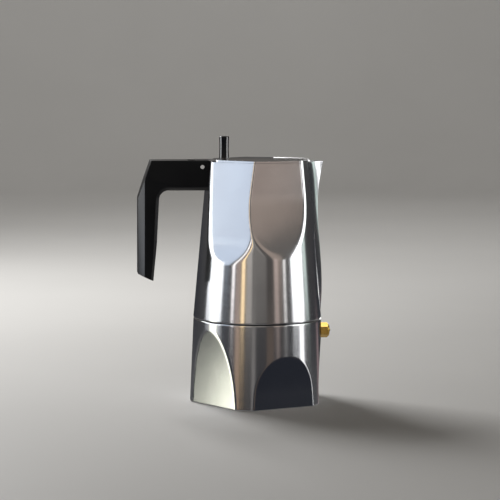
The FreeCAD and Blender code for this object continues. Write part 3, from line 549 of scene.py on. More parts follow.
def eased(low, high, count, low_edge, high_edge):
    """Heights up a wall whose two ends are rounded, and how far the round draws each ring in."""
    quarter = np.linspace(0, math.pi / 2, 6)
    heights = [low + low_edge * (1 - np.cos(quarter))[:-1],
               np.linspace(low + low_edge, high - high_edge, count),
               high - high_edge + high_edge * np.sin(quarter)[1:]]
    inward = [low_edge * (1 - np.sin(quarter))[:-1], np.zeros(count),
              high_edge * (1 - np.cos(quarter))[1:]]
    return np.concatenate(heights), np.concatenate(inward)


# %% [markdown]
# ## Thread
#
# Collector and boiler screw together by a coarse thread that climbs 4 mm in a turn. A Screw modifier could
# wind one as a piece of its own. Here the rings of skirt and neck are pushed out where the helix
# passes, so that thread and wall are one skin. The solids are plain there. The thread is cut into
# their walls, so that the gap between neck and skirt stays free.

# %% Screw thread
PITCH, THREAD_DEPTH, RINGS_PER_TURN = 4.0, 0.7, 10
FLANK_STEEP = 0.9
FADE_LENGTH = 1.5  # the thread fades out over this length at both ends


def thread(radius, first, last):
    """Rings of a screw thread: a rounded helix that fades out at both ends."""
    made = []
    length = abs(last - first)
    for share in np.linspace(0, 1, int(length / PITCH * RINGS_PER_TURN)):
        z = first + (last - first) * share
        turn = (z / PITCH - TURN / (2 * math.pi)) % 1.0
        wave = np.clip(0.5 - FLANK_STEEP * np.cos(2 * math.pi * turn), 0, 1)
        fade = max(0.0, min(1.0, share * length / FADE_LENGTH, (1 - share) * length / FADE_LENGTH))
        made.append(ring(TURN, radius + THREAD_DEPTH * wave * fade, z))
    return made


# %% Collector below its floor
BORE, BORE_TOP = 4.0, 146.0
CEILING, STEAM_ROOM = 81.8, 29.2
SEAL_FACE, SKIRT_BORE = 79.8, 38.5
THREAD_HIGH, THREAD_LOW = 79.0, 63.4

rings = levels(((BORE, BORE_TOP), (BORE, 82.2), (4.4, CEILING), (STEAM_ROOM, CEILING),
                (STEAM_ROOM, SEAL_FACE), (SKIRT_BORE, SEAL_FACE)))
rings += thread(SKIRT_BORE, THREAD_HIGH, THREAD_LOW)
rings += levels(((SKIRT_BORE, 63.2), (39.1, SKIRT_LOW), (46.0, SKIRT_LOW)))
marks = plain(len(rings))
print("collector below its floor:", len(rings), "rings")

# %% Collector skin
FLOOR, WALL = 84.4, 3.0
EDGE_ROUND, RIDGE_ROUND, FIN_ROUND = 1.4, 0.6, 1.2
LIP, CHANNEL_NARROWER = 3.0, 4.0  # the spout's wall, and the degrees by which its channel is narrower
HALF_WAY = 120.0  # above this height the inside is eased outwards to the rim, below it inwards to the floor


def collector_wall(heights, inset):
    """Angle, radius, height and mark of every point of the wall's outside, or of its inside."""
    angle, z = grid(heights)
    if inset:
        fin = spout_radius(angle, z, inset, LIP, CHANNEL_NARROWER)
    else:
        fin = spout_radius(angle, z)
    whole = -soft_min(inset - body_radius(z), -fin, FIN_ROUND)
    radius, mark = scooped(whole, angle, z, collector_scoops(inset), EDGE_ROUND, RIDGE_ROUND)
    return angle, radius, z, mark


heights, inward = eased(SKIRT_LOW, RIM_HEIGHT, count=170, low_edge=0.5, high_edge=0.06)
angle, radius, z, mark = collector_wall(heights, 0.0)
rings += rings_from(angle, radius - inward[:, None], z)
marks += list(mark)
heights, inward = eased(FLOOR, RIM_HEIGHT, count=60, low_edge=2.5, high_edge=0.5)
angle, radius, z, mark = collector_wall(heights[::-1], WALL)
inner = rings_from(angle, radius + np.where(z > HALF_WAY, 1, -1) * inward[::-1, None], z)
rings += inner + [drawn_in(inner[-1], 6.0, FLOOR)] + levels(((12.0, FLOOR), (6.5, FLOOR)))
marks += list(mark) + plain(3)
shell_mesh = stack("collector_shell", rings, close_start=True, marks=marks)
shell = piece("collector_shell", shell_mesh, "collector", cast_metal)
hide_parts("collector")

# %% [markdown]
# ## Column
#
# Hot coffee rises in the column and leaves through two round outlets near its top.
# The column could be part of the collector's skin, but its outlets would tear the rings open.
# So it is a turned piece of its own, and a boolean cut drills the outlets.

# %% Cutting tools
CRISP_CUT = 35  # degrees: a cut edge that bends by more stays crisp
ROD_SIDES = 40


def cut_by(made, cutter):
    """Cut one mesh out of another for good, and throw the cutter away."""
    step = made.modifiers.new("cut", "BOOLEAN")
    step.operation = "DIFFERENCE"
    step.solver = "EXACT"
    step.object = cutter
    bpy.context.view_layer.update()
    ready = made.evaluated_get(bpy.context.evaluated_depsgraph_get())
    mesh = bpy.data.meshes.new_from_object(ready)
    made.modifiers.clear()
    made.data = mesh
    bpy.data.objects.remove(cutter)
    mesh.set_sharp_from_angle(angle=math.radians(CRISP_CUT))


def rod(radius, start, end):
    """A plain rod between two points, used only to cut."""
    bm = bmesh.new()
    first, last = Vector(start) * MM, Vector(end) * MM
    bmesh.ops.create_cone(bm, cap_ends=True, segments=ROD_SIDES, radius1=radius * MM, radius2=radius * MM,
                          depth=(last - first).length)
    mesh = bpy.data.meshes.new("rod")
    bm.to_mesh(mesh)
    made = placed("rod", mesh)
    made.rotation_mode = "QUATERNION"
    made.rotation_quaternion = (last - first).to_track_quat("Z", "Y")
    made.location = (first + last) / 2
    return made


# %% Column with its outlets
OUTLET, OUTLET_Z = 2.6, 140.8
COLUMN_LINE = ((BORE, FLOOR), (9.0, FLOOR), (7.8, FLOOR + 0.3), (7.2, FLOOR + 0.9), (7.0, FLOOR + 2.0),
               (7.0, 145.4), (6.8, 146.1), (4.0, 150.4), (3.3, 150.8), (2.4, 151.0))
column_mesh = stack("column", [shape[::4] for shape in levels(COLUMN_LINE)], True, True)
column = piece("column", column_mesh, "collector", lid_metal)
cut_by(column, rod(OUTLET, (0, -20, OUTLET_Z), (0, 20, OUTLET_Z)))
print("column:", len(column.data.polygons), "faces with its outlets")

# %% [markdown]
# ## Boiler
#
# The boiler is a heavy casting that stands on the stove: a shallow hollow under the foot, the scooped
# outside, the shoulder, a threaded neck, and the water chamber inside. The same kind of skin makes it.
# The valve sits on a small spot-faced flat, which is pressed into the rings where the valve's axis passes.

# %% Boiler outside
VALVE_Z, VALVE_SEAT = 51.8, 45.19
SPOT_RADIUS, SPOT_EDGE, SPOT_FACING = 6.1, 0.3, 0.5
FOOT_ROUND = 0.35
UNDERSIDE = ((33.0, 0.6), (34.2, 0.6), (35.2, 0.0))


def boiler_wall(heights, inset):
    """Angle, radius, height and mark of every point of the wall's outside, or of its inside."""
    angle, z = grid(heights)
    whole = foot_radius(z) if inset == 0 else np.full_like(z, SHOULDER - inset)
    radius, mark = scooped(whole, angle, z, boiler_scoops(inset), FOOT_ROUND, FOOT_ROUND)
    if inset == 0:
        off = np.hypot(radius * np.sin(angle), z - VALVE_Z)
        on_flat = np.clip((SPOT_RADIUS - off) / SPOT_EDGE, 0, 1) * (np.cos(angle) > SPOT_FACING)
        flat = VALVE_SEAT / np.clip(np.cos(angle), SPOT_FACING, 1)
        radius = radius + (np.minimum(radius, flat) - radius) * on_flat
    return angle, radius, z, mark


heights, inward = eased(0.0, SEAM, count=100, low_edge=0.5, high_edge=0.8)
angle, radius, z, mark = boiler_wall(heights, 0.0)
rings = levels(UNDERSIDE) + rings_from(angle, radius - inward[:, None], z)
marks = plain(len(UNDERSIDE)) + list(mark)
print("boiler outside:", len(rings), "rings")

# %% Boiler neck and chamber
NECK, NECK_BORE, NECK_TOP = 38.0, 34.4, 75.0
NECK_ROOT = NECK - THREAD_DEPTH
CHAMBER_LOW, CHAMBER_TOP = 4.0, 58.0

top = levels(((NECK + 0.9, SEAM), (NECK + 0.2, SEAM + 0.2), (NECK - 0.4, SEAM + 0.9)))
top += thread(NECK_ROOT, SEAM + 1.0, NECK_TOP - 1.2)
top += levels(((NECK_ROOT, NECK_TOP - 1.0), (NECK - 1.5, NECK_TOP), (NECK_BORE + 0.5, NECK_TOP),
               (NECK_BORE, NECK_TOP - 0.5), (NECK_BORE, 58.3), (NECK_BORE + 0.3, CHAMBER_TOP)))
rings += top
marks += plain(len(top))
heights, inward = eased(CHAMBER_LOW, CHAMBER_TOP, count=40, low_edge=2.5, high_edge=1.0)
angle, radius, z, mark = boiler_wall(heights[::-1], WALL)
rings += rings_from(angle, radius - inward[::-1, None], z)
marks += list(mark)
boiler_mesh = stack("boiler_shell", rings, True, True, marks=marks)
boiler_skin = piece("boiler_shell", boiler_mesh, "boiler", cast_metal)
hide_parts("boiler")

# %% [markdown]
# ## Lid
#
# The lid is the top slice of the same scooped cone, with a straight back edge. A flat top could do, but
# polished metal that is quite flat mirrors one single tone, so the top is crowned by less than half a
# millimetre. The edge takes the collector's finish, so that the facets run on through it.

# %% Lid plate
LID_LOW, LID_TOP, LID_BACK, LID_DOME = 178.06, 180.0, 33.2, 0.45
DOME_SHARES = (0.97, 0.9, 0.8, 0.65, 0.5, 0.35, 0.2, 0.08)
EDGE_FACING = 0.6  # a face whose normal rises by less belongs to the edge

heights, inward = eased(LID_LOW, LID_TOP - LID_DOME, count=6, low_edge=0.05, high_edge=0.2)
angle, z = grid(heights)
back_edge = (math.pi, lambda height: np.full_like(height, LID_BACK))
scoops = collector_scoops() + [back_edge]
radius, mark = scooped(body_radius(z), angle, z, scoops, EDGE_ROUND, RIDGE_ROUND)
edge = rings_from(angle, radius - inward[:, None], z)
rings = levels(((6.0, LID_LOW),)) + [drawn_in(edge[0], 4.0, LID_LOW)] + edge
for share in DOME_SHARES:
    rings.append(edge[-1] * (share, share, 1) + (0, 0, LID_DOME * (1 - share ** 2)))
marks = plain(2) + list(mark) + plain(len(DOME_SHARES))
lid_mesh = stack("lid_plate", rings, True, True, marks=marks)
lid_plate = piece("lid_plate", lid_mesh, "lid", lid_metal)
lid_mesh.materials.append(cast_metal)
for polygon in lid_mesh.polygons:
    if abs(polygon.normal.z) < EDGE_FACING:
        polygon.material_index = 1
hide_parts("lid")


# %% [markdown]
# ## Hinge tongue
#
# The lid's tongue turns on a steel pin between the cheeks of a lug on the collector. It is a flat form:
# an outline in the pot's middle plane, given a width. A cube could be cut and drilled to it, but filling
# the outline with its hole gives clean faces at once, and a bevel breaks the edges.

# %% Flat forms
HOLE_SIDES, BEVEL_STEPS = 32, 3


def arc(x, z, radius, turns):
    """Points on a circle in the middle plane."""
    return [(x + radius * math.cos(a), z + radius * math.sin(a)) for a in turns]


def slab(name, outline, holes, width):
    """A flat form in the middle plane, its outline and round holes in millimetres."""
    bm = bmesh.new()
    whole_turn = np.linspace(0, 2 * math.pi, HOLE_SIDES, False)
    loops = [outline] + [arc(x, z, r, whole_turn) for x, z, r in holes]
    for side in (-0.5, 0.5):
        edges = []
        for loop in loops:
            points = [bm.verts.new((x * MM, side * width * MM, z * MM)) for x, z in loop]
            edges += [bm.edges.new((points[i], points[(i + 1) % len(points)])) for i in range(len(points))]
        bmesh.ops.triangle_fill(bm, use_beauty=True, edges=edges)
    points = list(bm.verts)
    half = len(points) // 2
    start = 0
    for loop in loops:
        for i in range(len(loop)):
            here, there = start + i, start + (i + 1) % len(loop)
            bm.faces.new((points[here], points[there], points[half + there], points[half + here]))
        start += len(loop)
    bmesh.ops.recalc_face_normals(bm, faces=bm.faces)
    mesh = bpy.data.meshes.new(name)
    bm.to_mesh(mesh)
    return mesh


def broken_edges(made, width, angle=30):
    """A fine bevel along the edges that bend by more than the angle in degrees."""
    step = made.modifiers.new("edges", "BEVEL")
    step.width = width * MM
    step.segments = BEVEL_STEPS
    step.limit_method = "ANGLE"
    step.angle_limit = math.radians(angle)
    step.harden_normals = True


# %% Tongue
PIN_X, PIN_Z = -42.2, 174.4
KNUCKLE, KNUCKLE_HOLE = 3.2, 1.56
TONGUE_FRONT, TONGUE_BACK, TONGUE_WIDTH = -30.2, PIN_X - 5.0, 6.2
TONGUE_TOP = LID_TOP - LID_DOME + 0.05

knuckle = arc(PIN_X, PIN_Z, KNUCKLE, np.linspace(math.pi, 2 * math.pi, 17))
outline = [(TONGUE_FRONT, TONGUE_TOP), (TONGUE_BACK, TONGUE_TOP), (TONGUE_BACK, LID_LOW), *knuckle,
           (PIN_X + KNUCKLE, LID_LOW), (TONGUE_FRONT, LID_LOW)]
tongue_mesh = slab("lid_tongue", outline, [(PIN_X, PIN_Z, KNUCKLE_HOLE)], TONGUE_WIDTH)
tongue = piece("lid_tongue", tongue_mesh, "lid", lid_metal, crisp=30)
broken_edges(tongue, 0.3)

# %% [markdown]
# ## Hinge lug
#
# The lug is a block behind the collector's rim that fills the handle's arm and has a slot for the tongue.
# A boolean could cut the slot. The block has so few corners that its four rings of corners are listed:
# round the bottom, round the top, round the slot's mouth and round the slot's floor.

# %% Lug
LUG = dict(front=-36.2, back=-52.06, low=161.54, half=6.3)
LUG_SLOT = dict(front=-38.65, back=-50.06, low=166.54, half=3.45)


def corners(form, z):
    """The four corners of a form at one height."""
    front, back, half = form["front"], form["back"], form["half"]
    return [(front, -half, z), (back, -half, z), (back, half, z), (front, half, z)]


points = (corners(LUG, LUG["low"]) + corners(LUG, RIM_HEIGHT)
          + corners(LUG_SLOT, RIM_HEIGHT) + corners(LUG_SLOT, LUG_SLOT["low"]))
faces = [(3, 2, 1, 0), (12, 13, 14, 15)]
for base in (0, 4, 8):
    for i in range(4):
        j = (i + 1) % 4
        faces.append((base + i, base + j, base + 4 + j, base + 4 + i))
lug_mesh = bpy.data.meshes.new("hinge_lug")
lug_mesh.from_pydata([tuple(v * MM for v in p) for p in points], [], faces)
bm = bmesh.new()
bm.from_mesh(lug_mesh)
bmesh.ops.recalc_face_normals(bm, faces=bm.faces)
bm.to_mesh(lug_mesh)
lug = piece("hinge_lug", lug_mesh, "collector", cast_metal, crisp=30)
broken_edges(lug, 0.25)

# %% [markdown]
# ## Knob
#
# The knob is a slim black rod that a screw holds from below. A cylinder with a bevel would come close,
# but the real one is drawn in a little at its middle, so that its two highlights curve.
# A line of radii and heights, turned round its own axis, gives waist, rim and dished top.

# %% Knob
KNOB_X, KNOB_HEIGHT, KNOB_RADIUS = -25.3, 16.4, 3.65
KNOB_WAIST, KNOB_RIM, KNOB_SIDES = 0.22, 0.5, 64

knob_line = [(KNOB_RADIUS - 0.3, -0.4), (KNOB_RADIUS - 0.3, -0.15), (KNOB_RADIUS - 0.05, 0.05)]
for share in np.linspace(0.03, 0.96, 24):
    knob_line.append((KNOB_RADIUS - KNOB_WAIST * math.sin(math.pi * share), KNOB_HEIGHT * share))
rim_turns = np.linspace(0.2, math.pi / 2, 6)
knob_line += arc(KNOB_RADIUS - KNOB_RIM, KNOB_HEIGHT - KNOB_RIM, KNOB_RIM, rim_turns)
knob_line += [(2.2, KNOB_HEIGHT), (1.9, KNOB_HEIGHT - 0.12), (0.6, KNOB_HEIGHT - 0.15)]
knob_turn = np.linspace(0, 2 * math.pi, KNOB_SIDES, endpoint=False)
knob_rings = [ring(knob_turn, r, LID_TOP + z, KNOB_X) for r, z in knob_line]
knob = piece("knob", stack("knob", knob_rings, True, True), "lid", knob_black)
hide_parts("lid_knob")

# %% [markdown]
# ## Handle
#
# The handle is a black moulding: an arm from the rim, and a leg that hangs down clear of the hot wall.
# It could be shaped from a cube by hand. A flat outline, given its width, keeps every corner where it
# was measured, and a second outline, drawn back a little, chamfers the inside where fingers go.

# %% Handle outline
HANDLE_TOP, ARM_LOW, ARM_FRONT, ARM_BACK = 178.9, 157.0, -31.7, -79.6
HALF, BACK, SLOPE_LOW, BACK_LOW = 10.5, 89.1, 151.7, 95.6
TOE, TOE_SHIFT, KNEE, LEG_TOP = (-77.8, 90.4), (-0.96, 0.44), (-75.3, 117.0), -73.7
GRIP_ROUND, GRIP_CHAMFER = 7.0, 2.4


def handle_outline(inset):
    """The handle from its side; inset draws the inside of arm and leg back into the handle."""
    centre = (GRIP_ROUND + LEG_TOP, ARM_LOW - GRIP_ROUND)
    radius = GRIP_ROUND + inset
    corner = [(centre[0] - radius * math.cos(a), centre[1] + radius * math.sin(a))
              for a in np.linspace(0, math.pi / 2, 13)]
    return [(ARM_FRONT, HANDLE_TOP), (ARM_BACK, HANDLE_TOP), (-BACK, SLOPE_LOW), (-BACK, BACK_LOW),
            (TOE[0] + TOE_SHIFT[0] * inset, TOE[1] + TOE_SHIFT[1] * inset),
            (KNEE[0] - inset, KNEE[1]), *corner, (ARM_FRONT, ARM_LOW + inset)]


def prism(name, sections, across="y"):
    """Closed outlines of (x, z) at places along y, or of (x, y) at places along z, joined in a row."""
    bm = bmesh.new()
    ends = []
    for far, outline in sections:
        where = [(x, far, v) if across == "y" else (x, v, far) for x, v in outline]
        ends.append([bm.verts.new(Vector(point) * MM) for point in where])
    bm.faces.new(ends[0])
    bm.faces.new(ends[-1])
    for first, last in zip(ends, ends[1:]):
        for i in range(len(first)):
            j = (i + 1) % len(first)
            bm.faces.new((first[i], first[j], last[j], last[i]))
    bmesh.ops.recalc_face_normals(bm, faces=bm.faces)
    mesh = bpy.data.meshes.new(name)
    bm.to_mesh(mesh)
    return mesh


sections = [(-HALF, handle_outline(GRIP_CHAMFER)), (GRIP_CHAMFER - HALF, handle_outline(0)),
            (HALF - GRIP_CHAMFER, handle_outline(0)), (HALF, handle_outline(GRIP_CHAMFER))]
handle = piece("grip", prism("grip", sections), "collector", handle_black)
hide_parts("handle")

# %% [markdown]
# ## Handle cuts
#
# The real handle is moulded round cores that leave its openings. Here boolean cuts do the same:
# the seat round the collector, the room for the lug, an upright chamfer along each side of the back,
# the pin's hole and the room for the screw's head. Doing them one by one keeps each easy to check.

# %% Handle cuts
FIT = 0.15  # clearance to the metal
EVEN = np.linspace(0, 2 * math.pi, 128, endpoint=False)
SEAT_LOW, ABOVE, BELOW, BESIDE, BEHIND = 150.0, 190.0, 80.0, 15.0, -95.0
ROOM = dict(front=-20.0, back=-52.21, low=161.39, half=6.45)
BACK_CHAMFER = (4.9, 4.6)
PIN_HOLE, SCREW_X, SCREW_ROOM, SCREW_DEPTH = 1.53, -46.5, 3.55, 1.6

seat = stack("seat", [ring(EVEN, body_radius(z) + FIT, z) for z in (SEAT_LOW, ABOVE)], True, True)
cut_by(handle, placed("cutter", seat))
room = [(x, y) for x, y, _ in corners(ROOM, 0.0)]
cut_by(handle, placed("cutter", prism("room", [(ROOM["low"], room), (ABOVE, room)], "z")))
for sign in (-1, 1):
    chamfer_x = BACK_CHAMFER[0] - BACK
    chamfer_y = (HALF - BACK_CHAMFER[1]) * sign
    corner = [(BEHIND, BESIDE * sign), (chamfer_x, BESIDE * sign), (chamfer_x, HALF * sign),
              (-BACK, chamfer_y), (BEHIND, chamfer_y)]
    cut_by(handle, placed("cutter", prism("corner", [(BELOW, corner), (ABOVE, corner)], "z")))
cut_by(handle, rod(PIN_HOLE, (PIN_X, -20, PIN_Z), (PIN_X, 20, PIN_Z)))
cut_by(handle, rod(SCREW_ROOM, (SCREW_X, 0, SEAT_LOW), (SCREW_X, 0, ARM_LOW + SCREW_DEPTH)))
print("grip:", len(handle.data.polygons), "faces after its cuts")

# %% [markdown]
# ## Handle edges
#
# A moulding has softly rounded edges where a hand can touch it, and crisp ones inside its seat.
# A bevel modifier would round them all, so the edges are chosen here and rounded for good.

# %% Handle edges
EDGE, SHARP = 0.45, 0.3  # millimetres of rounding, and the bend in radians that counts as sharp
WELD, FLAT = 0.002, 0.01  # points this close become one, and faces that bend by less are joined
NEAR_SEAT, NEAR_ROOM, NEAR_PIN, NEAR_SCREW = 0.6, (-52.4, 6.6), 1.8, 3.7


def touched(*ends):
    """Whether a hand can touch an edge, given its two ends in millimetres."""
    for point in ends:
        at_seat = math.hypot(point.x, point.y) < body_radius(point.z) + NEAR_SEAT
        in_room = point.x > NEAR_ROOM[0] and abs(point.y) < NEAR_ROOM[1]
        at_pin = math.hypot(point.x - PIN_X, point.z - PIN_Z) < NEAR_PIN
        at_screw = math.hypot(point.x - SCREW_X, point.y) < NEAR_SCREW
        if at_seat or in_room or at_pin or at_screw:
            return False
    return True


bm = bmesh.new()
bm.from_mesh(handle.data)
bmesh.ops.remove_doubles(bm, verts=bm.verts, dist=WELD * MM)
bmesh.ops.dissolve_limit(bm, angle_limit=FLAT, verts=bm.verts, edges=bm.edges)
sharp = [e for e in bm.edges if len(e.link_faces) == 2 and e.calc_face_angle(0) > SHARP
         and touched(*[v.co * 1000 for v in e.verts])]
bmesh.ops.bevel(bm, geom=sharp, offset=EDGE * MM, segments=BEVEL_STEPS, profile=0.5, affect="EDGES",
                clamp_overlap=True)
bm.to_mesh(handle.data)
smooth(handle.data, CRISP_CUT)
print("grip:", len(sharp), "edges rounded,", len(handle.data.polygons), "faces")

# %% [markdown]
# ## Small hardware
#
# Hinge pin and safety valve are small turned parts of steel and brass. They could be made again too, but
# their solids already have the right form. A weld joins their facets' points, and a fine bevel
# lets their edges catch the light.

# %% Edges of the solids that stay
BEVELS = dict(hinge_pin=0.3, valve_body=0.25, valve_plunger=0.2, valve_retainer=0.15)
for name, width in BEVELS.items():
    welded = nodes[name].modifiers.new("joined", "WELD")
    welded.merge_threshold = 0.01 * MM
    broken_edges(nodes[name], width, 25)
print("bevelled:", *BEVELS)

# %% [markdown]
# ## Floor
#
# A studio has a cove: a pale sheet that lies flat and curves up behind, so that no horizon shows.
# One bent sheet would show its back from other sides, so this cove is round, with the pot at its middle.
# Polished metal mirrors what it stands on, and a pale floor would wash the boiler out. So the floor is
# left out of reflections, and it casts no shadow, so that low lights can lie beneath its level.

# %% Floor
FLAT_TO, COVE_ROUND, COVE_TOP = 2200.0, 800.0, 3200.0
UNDER_FOOT = 0.2  # the floor lies this far below the foot
PALE_LOW, PALE_HIGH, FLOOR_ROUGH = (0.60, 0.59, 0.57), (0.64, 0.63, 0.61), 0.6

sweep = [(400.0, 0.0), (1200.0, 0.0), (FLAT_TO, 0.0)]
for a in np.linspace(0.15, math.pi / 2, 10):
    sweep.append((FLAT_TO + COVE_ROUND * math.sin(a), COVE_ROUND - COVE_ROUND * math.cos(a)))
sweep.append((FLAT_TO + COVE_ROUND, COVE_TOP))
floor_mesh = stack("floor", [ring(EVEN, r, z - UNDER_FOOT) for r, z in sweep], close_start=True)
floor = placed("floor", floor_mesh)
floor_material, tree, shader = new_material("pale_floor")
tree.links.new(ramp(tree, noise(tree, 3.0, 3.0), ((0.2, PALE_LOW), (0.8, PALE_HIGH))),
               shader.inputs["Base Color"])
shader.inputs["Roughness"].default_value = FLOOR_ROUGH
floor_mesh.materials.append(floor_material)
for polygon in floor_mesh.polygons:
    polygon.use_smooth = True
floor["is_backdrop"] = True
floor.visible_glossy = False
floor.visible_shadow = False
print("floor: %.1f m across" % (2 * sweep[-1][0] * MM))


# %% [markdown]
# ## Who gets which light
#
# In a studio one light is shaded from the metal and another from the black pieces. Flags could be built
# for that here too. Light linking is simpler: a light shines only on the pieces of one collection.

# %% Groups of pieces
def group(name, members):
    """A collection that a light can be linked to."""
    made = bpy.data.collections.new(name)
    for member in members:
        made.objects.link(member)
    return made


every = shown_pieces()
black = (handle, knob)
all_pieces = group("all_pieces", every)
black_pieces = group("black_pieces", black)
metal_pieces = group("metal_pieces", [made for made in every if made not in black])
small_pieces = group("small_pieces", [nodes[name] for name in (
    "valve_body", "valve_plunger", "valve_retainer", "valve_seal", "hinge_pin")])
floor_pieces = group("floor_pieces", [floor])


# %% [markdown]
# ## Two kinds of light
#
# Polished metal shows each light as a stripe, so it is lit by what it mirrors. An upright soft box gives an
# upright stripe, as wide as the angle that the box takes up round the pot. A second, square kind is
# aimed at a point. Neither is seen by the camera.

# %% Soft boxes and aimed lights
def hung(name, lamp, place, on):
    """A lamp in the studio that shines on one group, or on everything if none is named."""
    made = placed(name, lamp)
    made.location = place
    made.visible_camera = False
    made.light_linking.receiver_collection = on
    return made


def soft_box(name, azimuth, span, low, high, glow, colour=(1, 1, 1), on=metal_pieces, distance=0.8):
    """An upright soft light that faces the pot: azimuth and span as seen from the pot, in degrees."""
    turn = math.radians(azimuth)
    lamp = bpy.data.lights.new(name, "AREA")
    lamp.shape = "RECTANGLE"
    lamp.size = 2 * distance * math.tan(math.radians(span / 2))
    lamp.size_y = high - low
    lamp.energy = glow * math.pi * lamp.size * lamp.size_y
    lamp.color = colour
    place = (distance * math.sin(turn), -distance * math.cos(turn), (low + high) / 2)
    hung(name, lamp, place, on).rotation_euler = (math.pi / 2, 0, turn)


def aimed(name, place, at, size, energy, on=None):
    """A square soft light that looks at a point."""
    lamp = bpy.data.lights.new(name, "AREA")
    lamp.size = size
    lamp.energy = energy
    made = hung(name, lamp, place, on)
    made.rotation_mode = "QUATERNION"
    made.rotation_quaternion = (Vector(at) - made.location).to_track_quat("-Z", "Y")


# %% [markdown]
# ## Stripes in the collector
#
# From the left round to the back: one wide stripe on each side of the pot, and narrow ones between, some
# of them warm. A picture wrapped round the scene could give such stripes too, but soft boxes can be moved
# one at a time. Each line is azimuth, span, lower and upper end in metres, glow and colour.

# %% Stripes in the collector
COOL = (0.70, 0.82, 1.0)
soft_box("left_light", -92, 37, 0.05, 0.40, 3.0, (0.96, 0.98, 1.0), all_pieces)
soft_box("high_window", -86, 26, 0.42, 1.2, 1.2, COOL)
soft_box("window", -67, 12, 0.19, 1.1, 1.2, COOL)
soft_box("left_strip", -51.5, 4.5, 0.08, 0.5, 3.4, (1.0, 0.95, 0.93))
soft_box("warm_card", -42, 9, 0.0, 0.5, 0.45, (1.0, 0.76, 0.66))
soft_box("warm_strip", -32.5, 6, 0.05, 0.4, 2.7, (1.0, 0.74, 0.42))
soft_box("left_card", -21.5, 11, 0.06, 0.5, 0.65, (1.0, 0.93, 0.85))
soft_box("front_card", -2, 24, 0.1, 1.0, 0.22, (1.0, 0.92, 0.84))
soft_box("brown_card", 32, 16, 0.1, 1.1, 0.36, (1.0, 0.76, 0.62))
soft_box("pink_strip", 28, 8, 0.06, 0.25, 0.5, (1.0, 0.80, 0.72))
soft_box("right_strip", 45.2, 5.5, 0.10, 0.26, 2.9, (1.0, 0.97, 0.93), distance=1.6)
soft_box("right_light", 73, 28, 0.06, 1.0, 3.6, on=all_pieces)
soft_box("green_strip", 94, 9, 0.05, 1.0, 1.2, (0.85, 1.0, 0.92))
soft_box("back_right", 158, 12, 0.0, 1.0, 4.0)
soft_box("lid_light", 167.5, 9, 0.08, 0.195, 4.0)
print("stripes in the collector:", len(bpy.data.lights), "lights")

# %% [markdown]
# ## Stripes in the foot
#
# The boiler's wall leans back less than the collector's, so that it mirrors what lies lower.
# These boxes lie mostly below the floor's level, where only the metal can see them.

# %% Stripes in the foot
soft_box("left_low", -90.8, 16, -0.235, 0.03, 3.1, (1.0, 1.0, 0.82))
soft_box("warm_low", -40.5, 8, -0.16, 0.02, 0.42, (1.0, 0.64, 0.36))
soft_box("pale_low", -12.5, 6, -0.2, 0.05, 0.3, (1.0, 0.93, 0.86))
soft_box("brown_low", 16, 12, -0.2, 0.05, 0.13, (1.0, 0.66, 0.42))
soft_box("pink_low", 30, 5, -0.06, 0.06, 0.25, (1.0, 0.80, 0.70))
soft_box("right_low", 78, 9, -0.2, 0.06, 2.4)
soft_box("edge_low", 127, 8, -0.2, -0.01, 0.32, (1.0, 0.66, 0.66))
print("with the foot:", len(bpy.data.lights), "lights")

# %% [markdown]
# ## Handle, small pieces and backdrop
#
# The black handle needs a strong light of its own to show its chamfer, and the small brass and steel pieces
# need two weak ones. A square light from behind and above gives the pot its soft shadow,
# and the last one brightens only the cove behind it.

# %% Lights of their own
soft_box("handle_light", -80, 16, -0.14, 0.06, 5.0, (0.88, 0.92, 1.0), black_pieces)
soft_box("small_front", 6.5, 9, -0.14, 0.2, 0.55, (1.0, 0.96, 0.9), small_pieces)
aimed("small_top", (0.13, 0.26, 0.72), (0.05, 0, 0.05), 0.2, 0.3, small_pieces)
aimed("top_light", (-0.48, 0.66, 0.80), (0, 0, 0.05), 0.5, 11)
aimed("backdrop_light", (0, 0.9, 1.5), (0, 3.0, 0.7), 1.2, 15, floor_pieces)
print("in all:", len(bpy.data.lights), "lights")

# %% [markdown]
# ## Surroundings
#
# Between the lights the metal mirrors what is left of the studio. One grey would do, but it looks flat.
# A few nodes mix three plain tones by the direction in which a ray leaves: dim grey above, nearly black
# low in front, where the boiler needs deep tones, and pale low behind, at the right and steeply
# below, so that the metal stays light when it is seen from other sides.

# %% Directions
world = bpy.data.worlds.new("studio")
bpy.context.scene.world = world
world.use_nodes = True
sky = world.node_tree
way = add(sky, "ShaderNodeSeparateXYZ")
sky.links.new(add(sky, "ShaderNodeTexCoord").outputs["Generated"], way.inputs["Vector"])
to_right, to_back, upward = way.outputs["X"], way.outputs["Y"], way.outputs["Z"]


def rise(source, low, high):
    """0 at low and 1 at high, whichever of them is larger, and no more beyond."""
    made = add(sky, "ShaderNodeMapRange", {"From Min": low, "From Max": high})
    sky.links.new(source, made.inputs["Value"])
    return made.outputs["Result"]


def joined(operation, first, second):
    """Two values joined by one operation."""
    made = add(sky, "ShaderNodeMath", operation=operation)
    sky.links.new(first, made.inputs[0])
    sky.links.new(second, made.inputs[1])
    return made.outputs["Value"]


opposite = add(sky, "ShaderNodeMath", {1: -1.0}, operation="MULTIPLY")
sky.links.new(to_back, opposite.inputs[0])
to_front = opposite.outputs["Value"]
round_pot = rise(joined("ARCTAN2", to_right, to_front), -math.pi, math.pi)  # 0.5 is the front

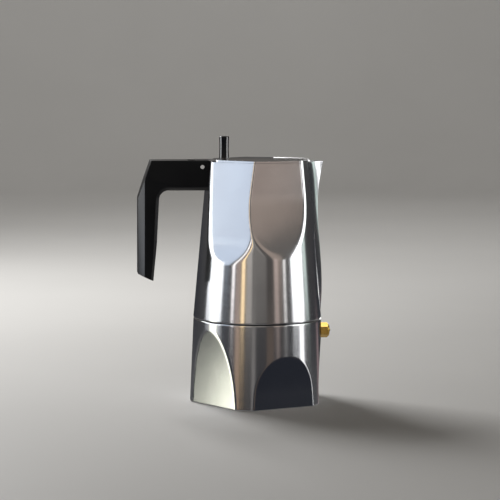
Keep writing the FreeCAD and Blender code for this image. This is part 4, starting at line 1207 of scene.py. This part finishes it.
# %% Tones
WHITE, BLACK = (1, 1, 1), (0, 0, 0)
LOW_TONE, HIGH_TONE, PALE_TONE = (0.024, 0.027, 0.036), (0.128, 0.12, 0.111), (0.34, 0.33, 0.32, 1)
RIGHT_EDGE = ((0.71, BLACK), (0.74, WHITE))

pale_side = ramp(sky, round_pot, ((0.17, WHITE), (0.20, BLACK), *RIGHT_EDGE))
pale_front = ramp(sky, round_pot, ((0.55, WHITE), (0.57, BLACK), *RIGHT_EDGE))
steep = joined("MULTIPLY", pale_front, rise(upward, -0.42, -0.56))
pale = joined("MULTIPLY", joined("MAXIMUM", pale_side, steep), rise(upward, -0.12, -0.26))
near = ramp(sky, rise(upward, -0.09, 0.1), ((0.0, LOW_TONE), (1.0, HIGH_TONE)))
mixed = add(sky, "ShaderNodeMix", data_type="RGBA")
sky.links.new(pale, mixed.inputs["Factor"])
sky.links.new(near, mixed.inputs["A"])
mixed.inputs["B"].default_value = PALE_TONE
sky.links.new(mixed.outputs["Result"], sky.nodes["Background"].inputs["Color"])
bpy.context.scene.view_settings.view_transform = "Standard"
print("surroundings:", len(sky.nodes), "nodes")

# %% [markdown]
# ## Camera
#
# The camera was fitted to the photograph by the pot's straight edges: a long lens, a little higher than
# the lid, and a few degrees to the left of the pot's side. It could be placed by eye, but a fitted camera
# makes every later comparison with the photograph fair.

# %% Camera
PICTURE_PIXELS, FOCAL_PIXELS, SENSOR = 500.0, 1960.0, 36.0
AIM, DISTANCE = (-0.00565, 0, 0.1121), 1.4533
AZIMUTH, ELEVATION, ROLL = math.radians(-6.5), math.radians(5.8), math.radians(0.325)

camera = placed("camera", bpy.data.cameras.new("camera"))
bpy.context.scene.camera = camera
camera.data.sensor_width = SENSOR
camera.data.lens = FOCAL_PIXELS / PICTURE_PIXELS * SENSOR
back = Vector((math.sin(AZIMUTH) * math.cos(ELEVATION), -math.cos(AZIMUTH) * math.cos(ELEVATION),
               math.sin(ELEVATION)))
camera.location = Vector(AIM) + back * DISTANCE
camera.rotation_mode = "QUATERNION"
camera.rotation_quaternion = Quaternion(back, ROLL) @ (-back).to_track_quat("-Z", "Y")
print("camera: %.0f mm lens, %.2f m above the floor" % (camera.data.lens, camera.location.z))
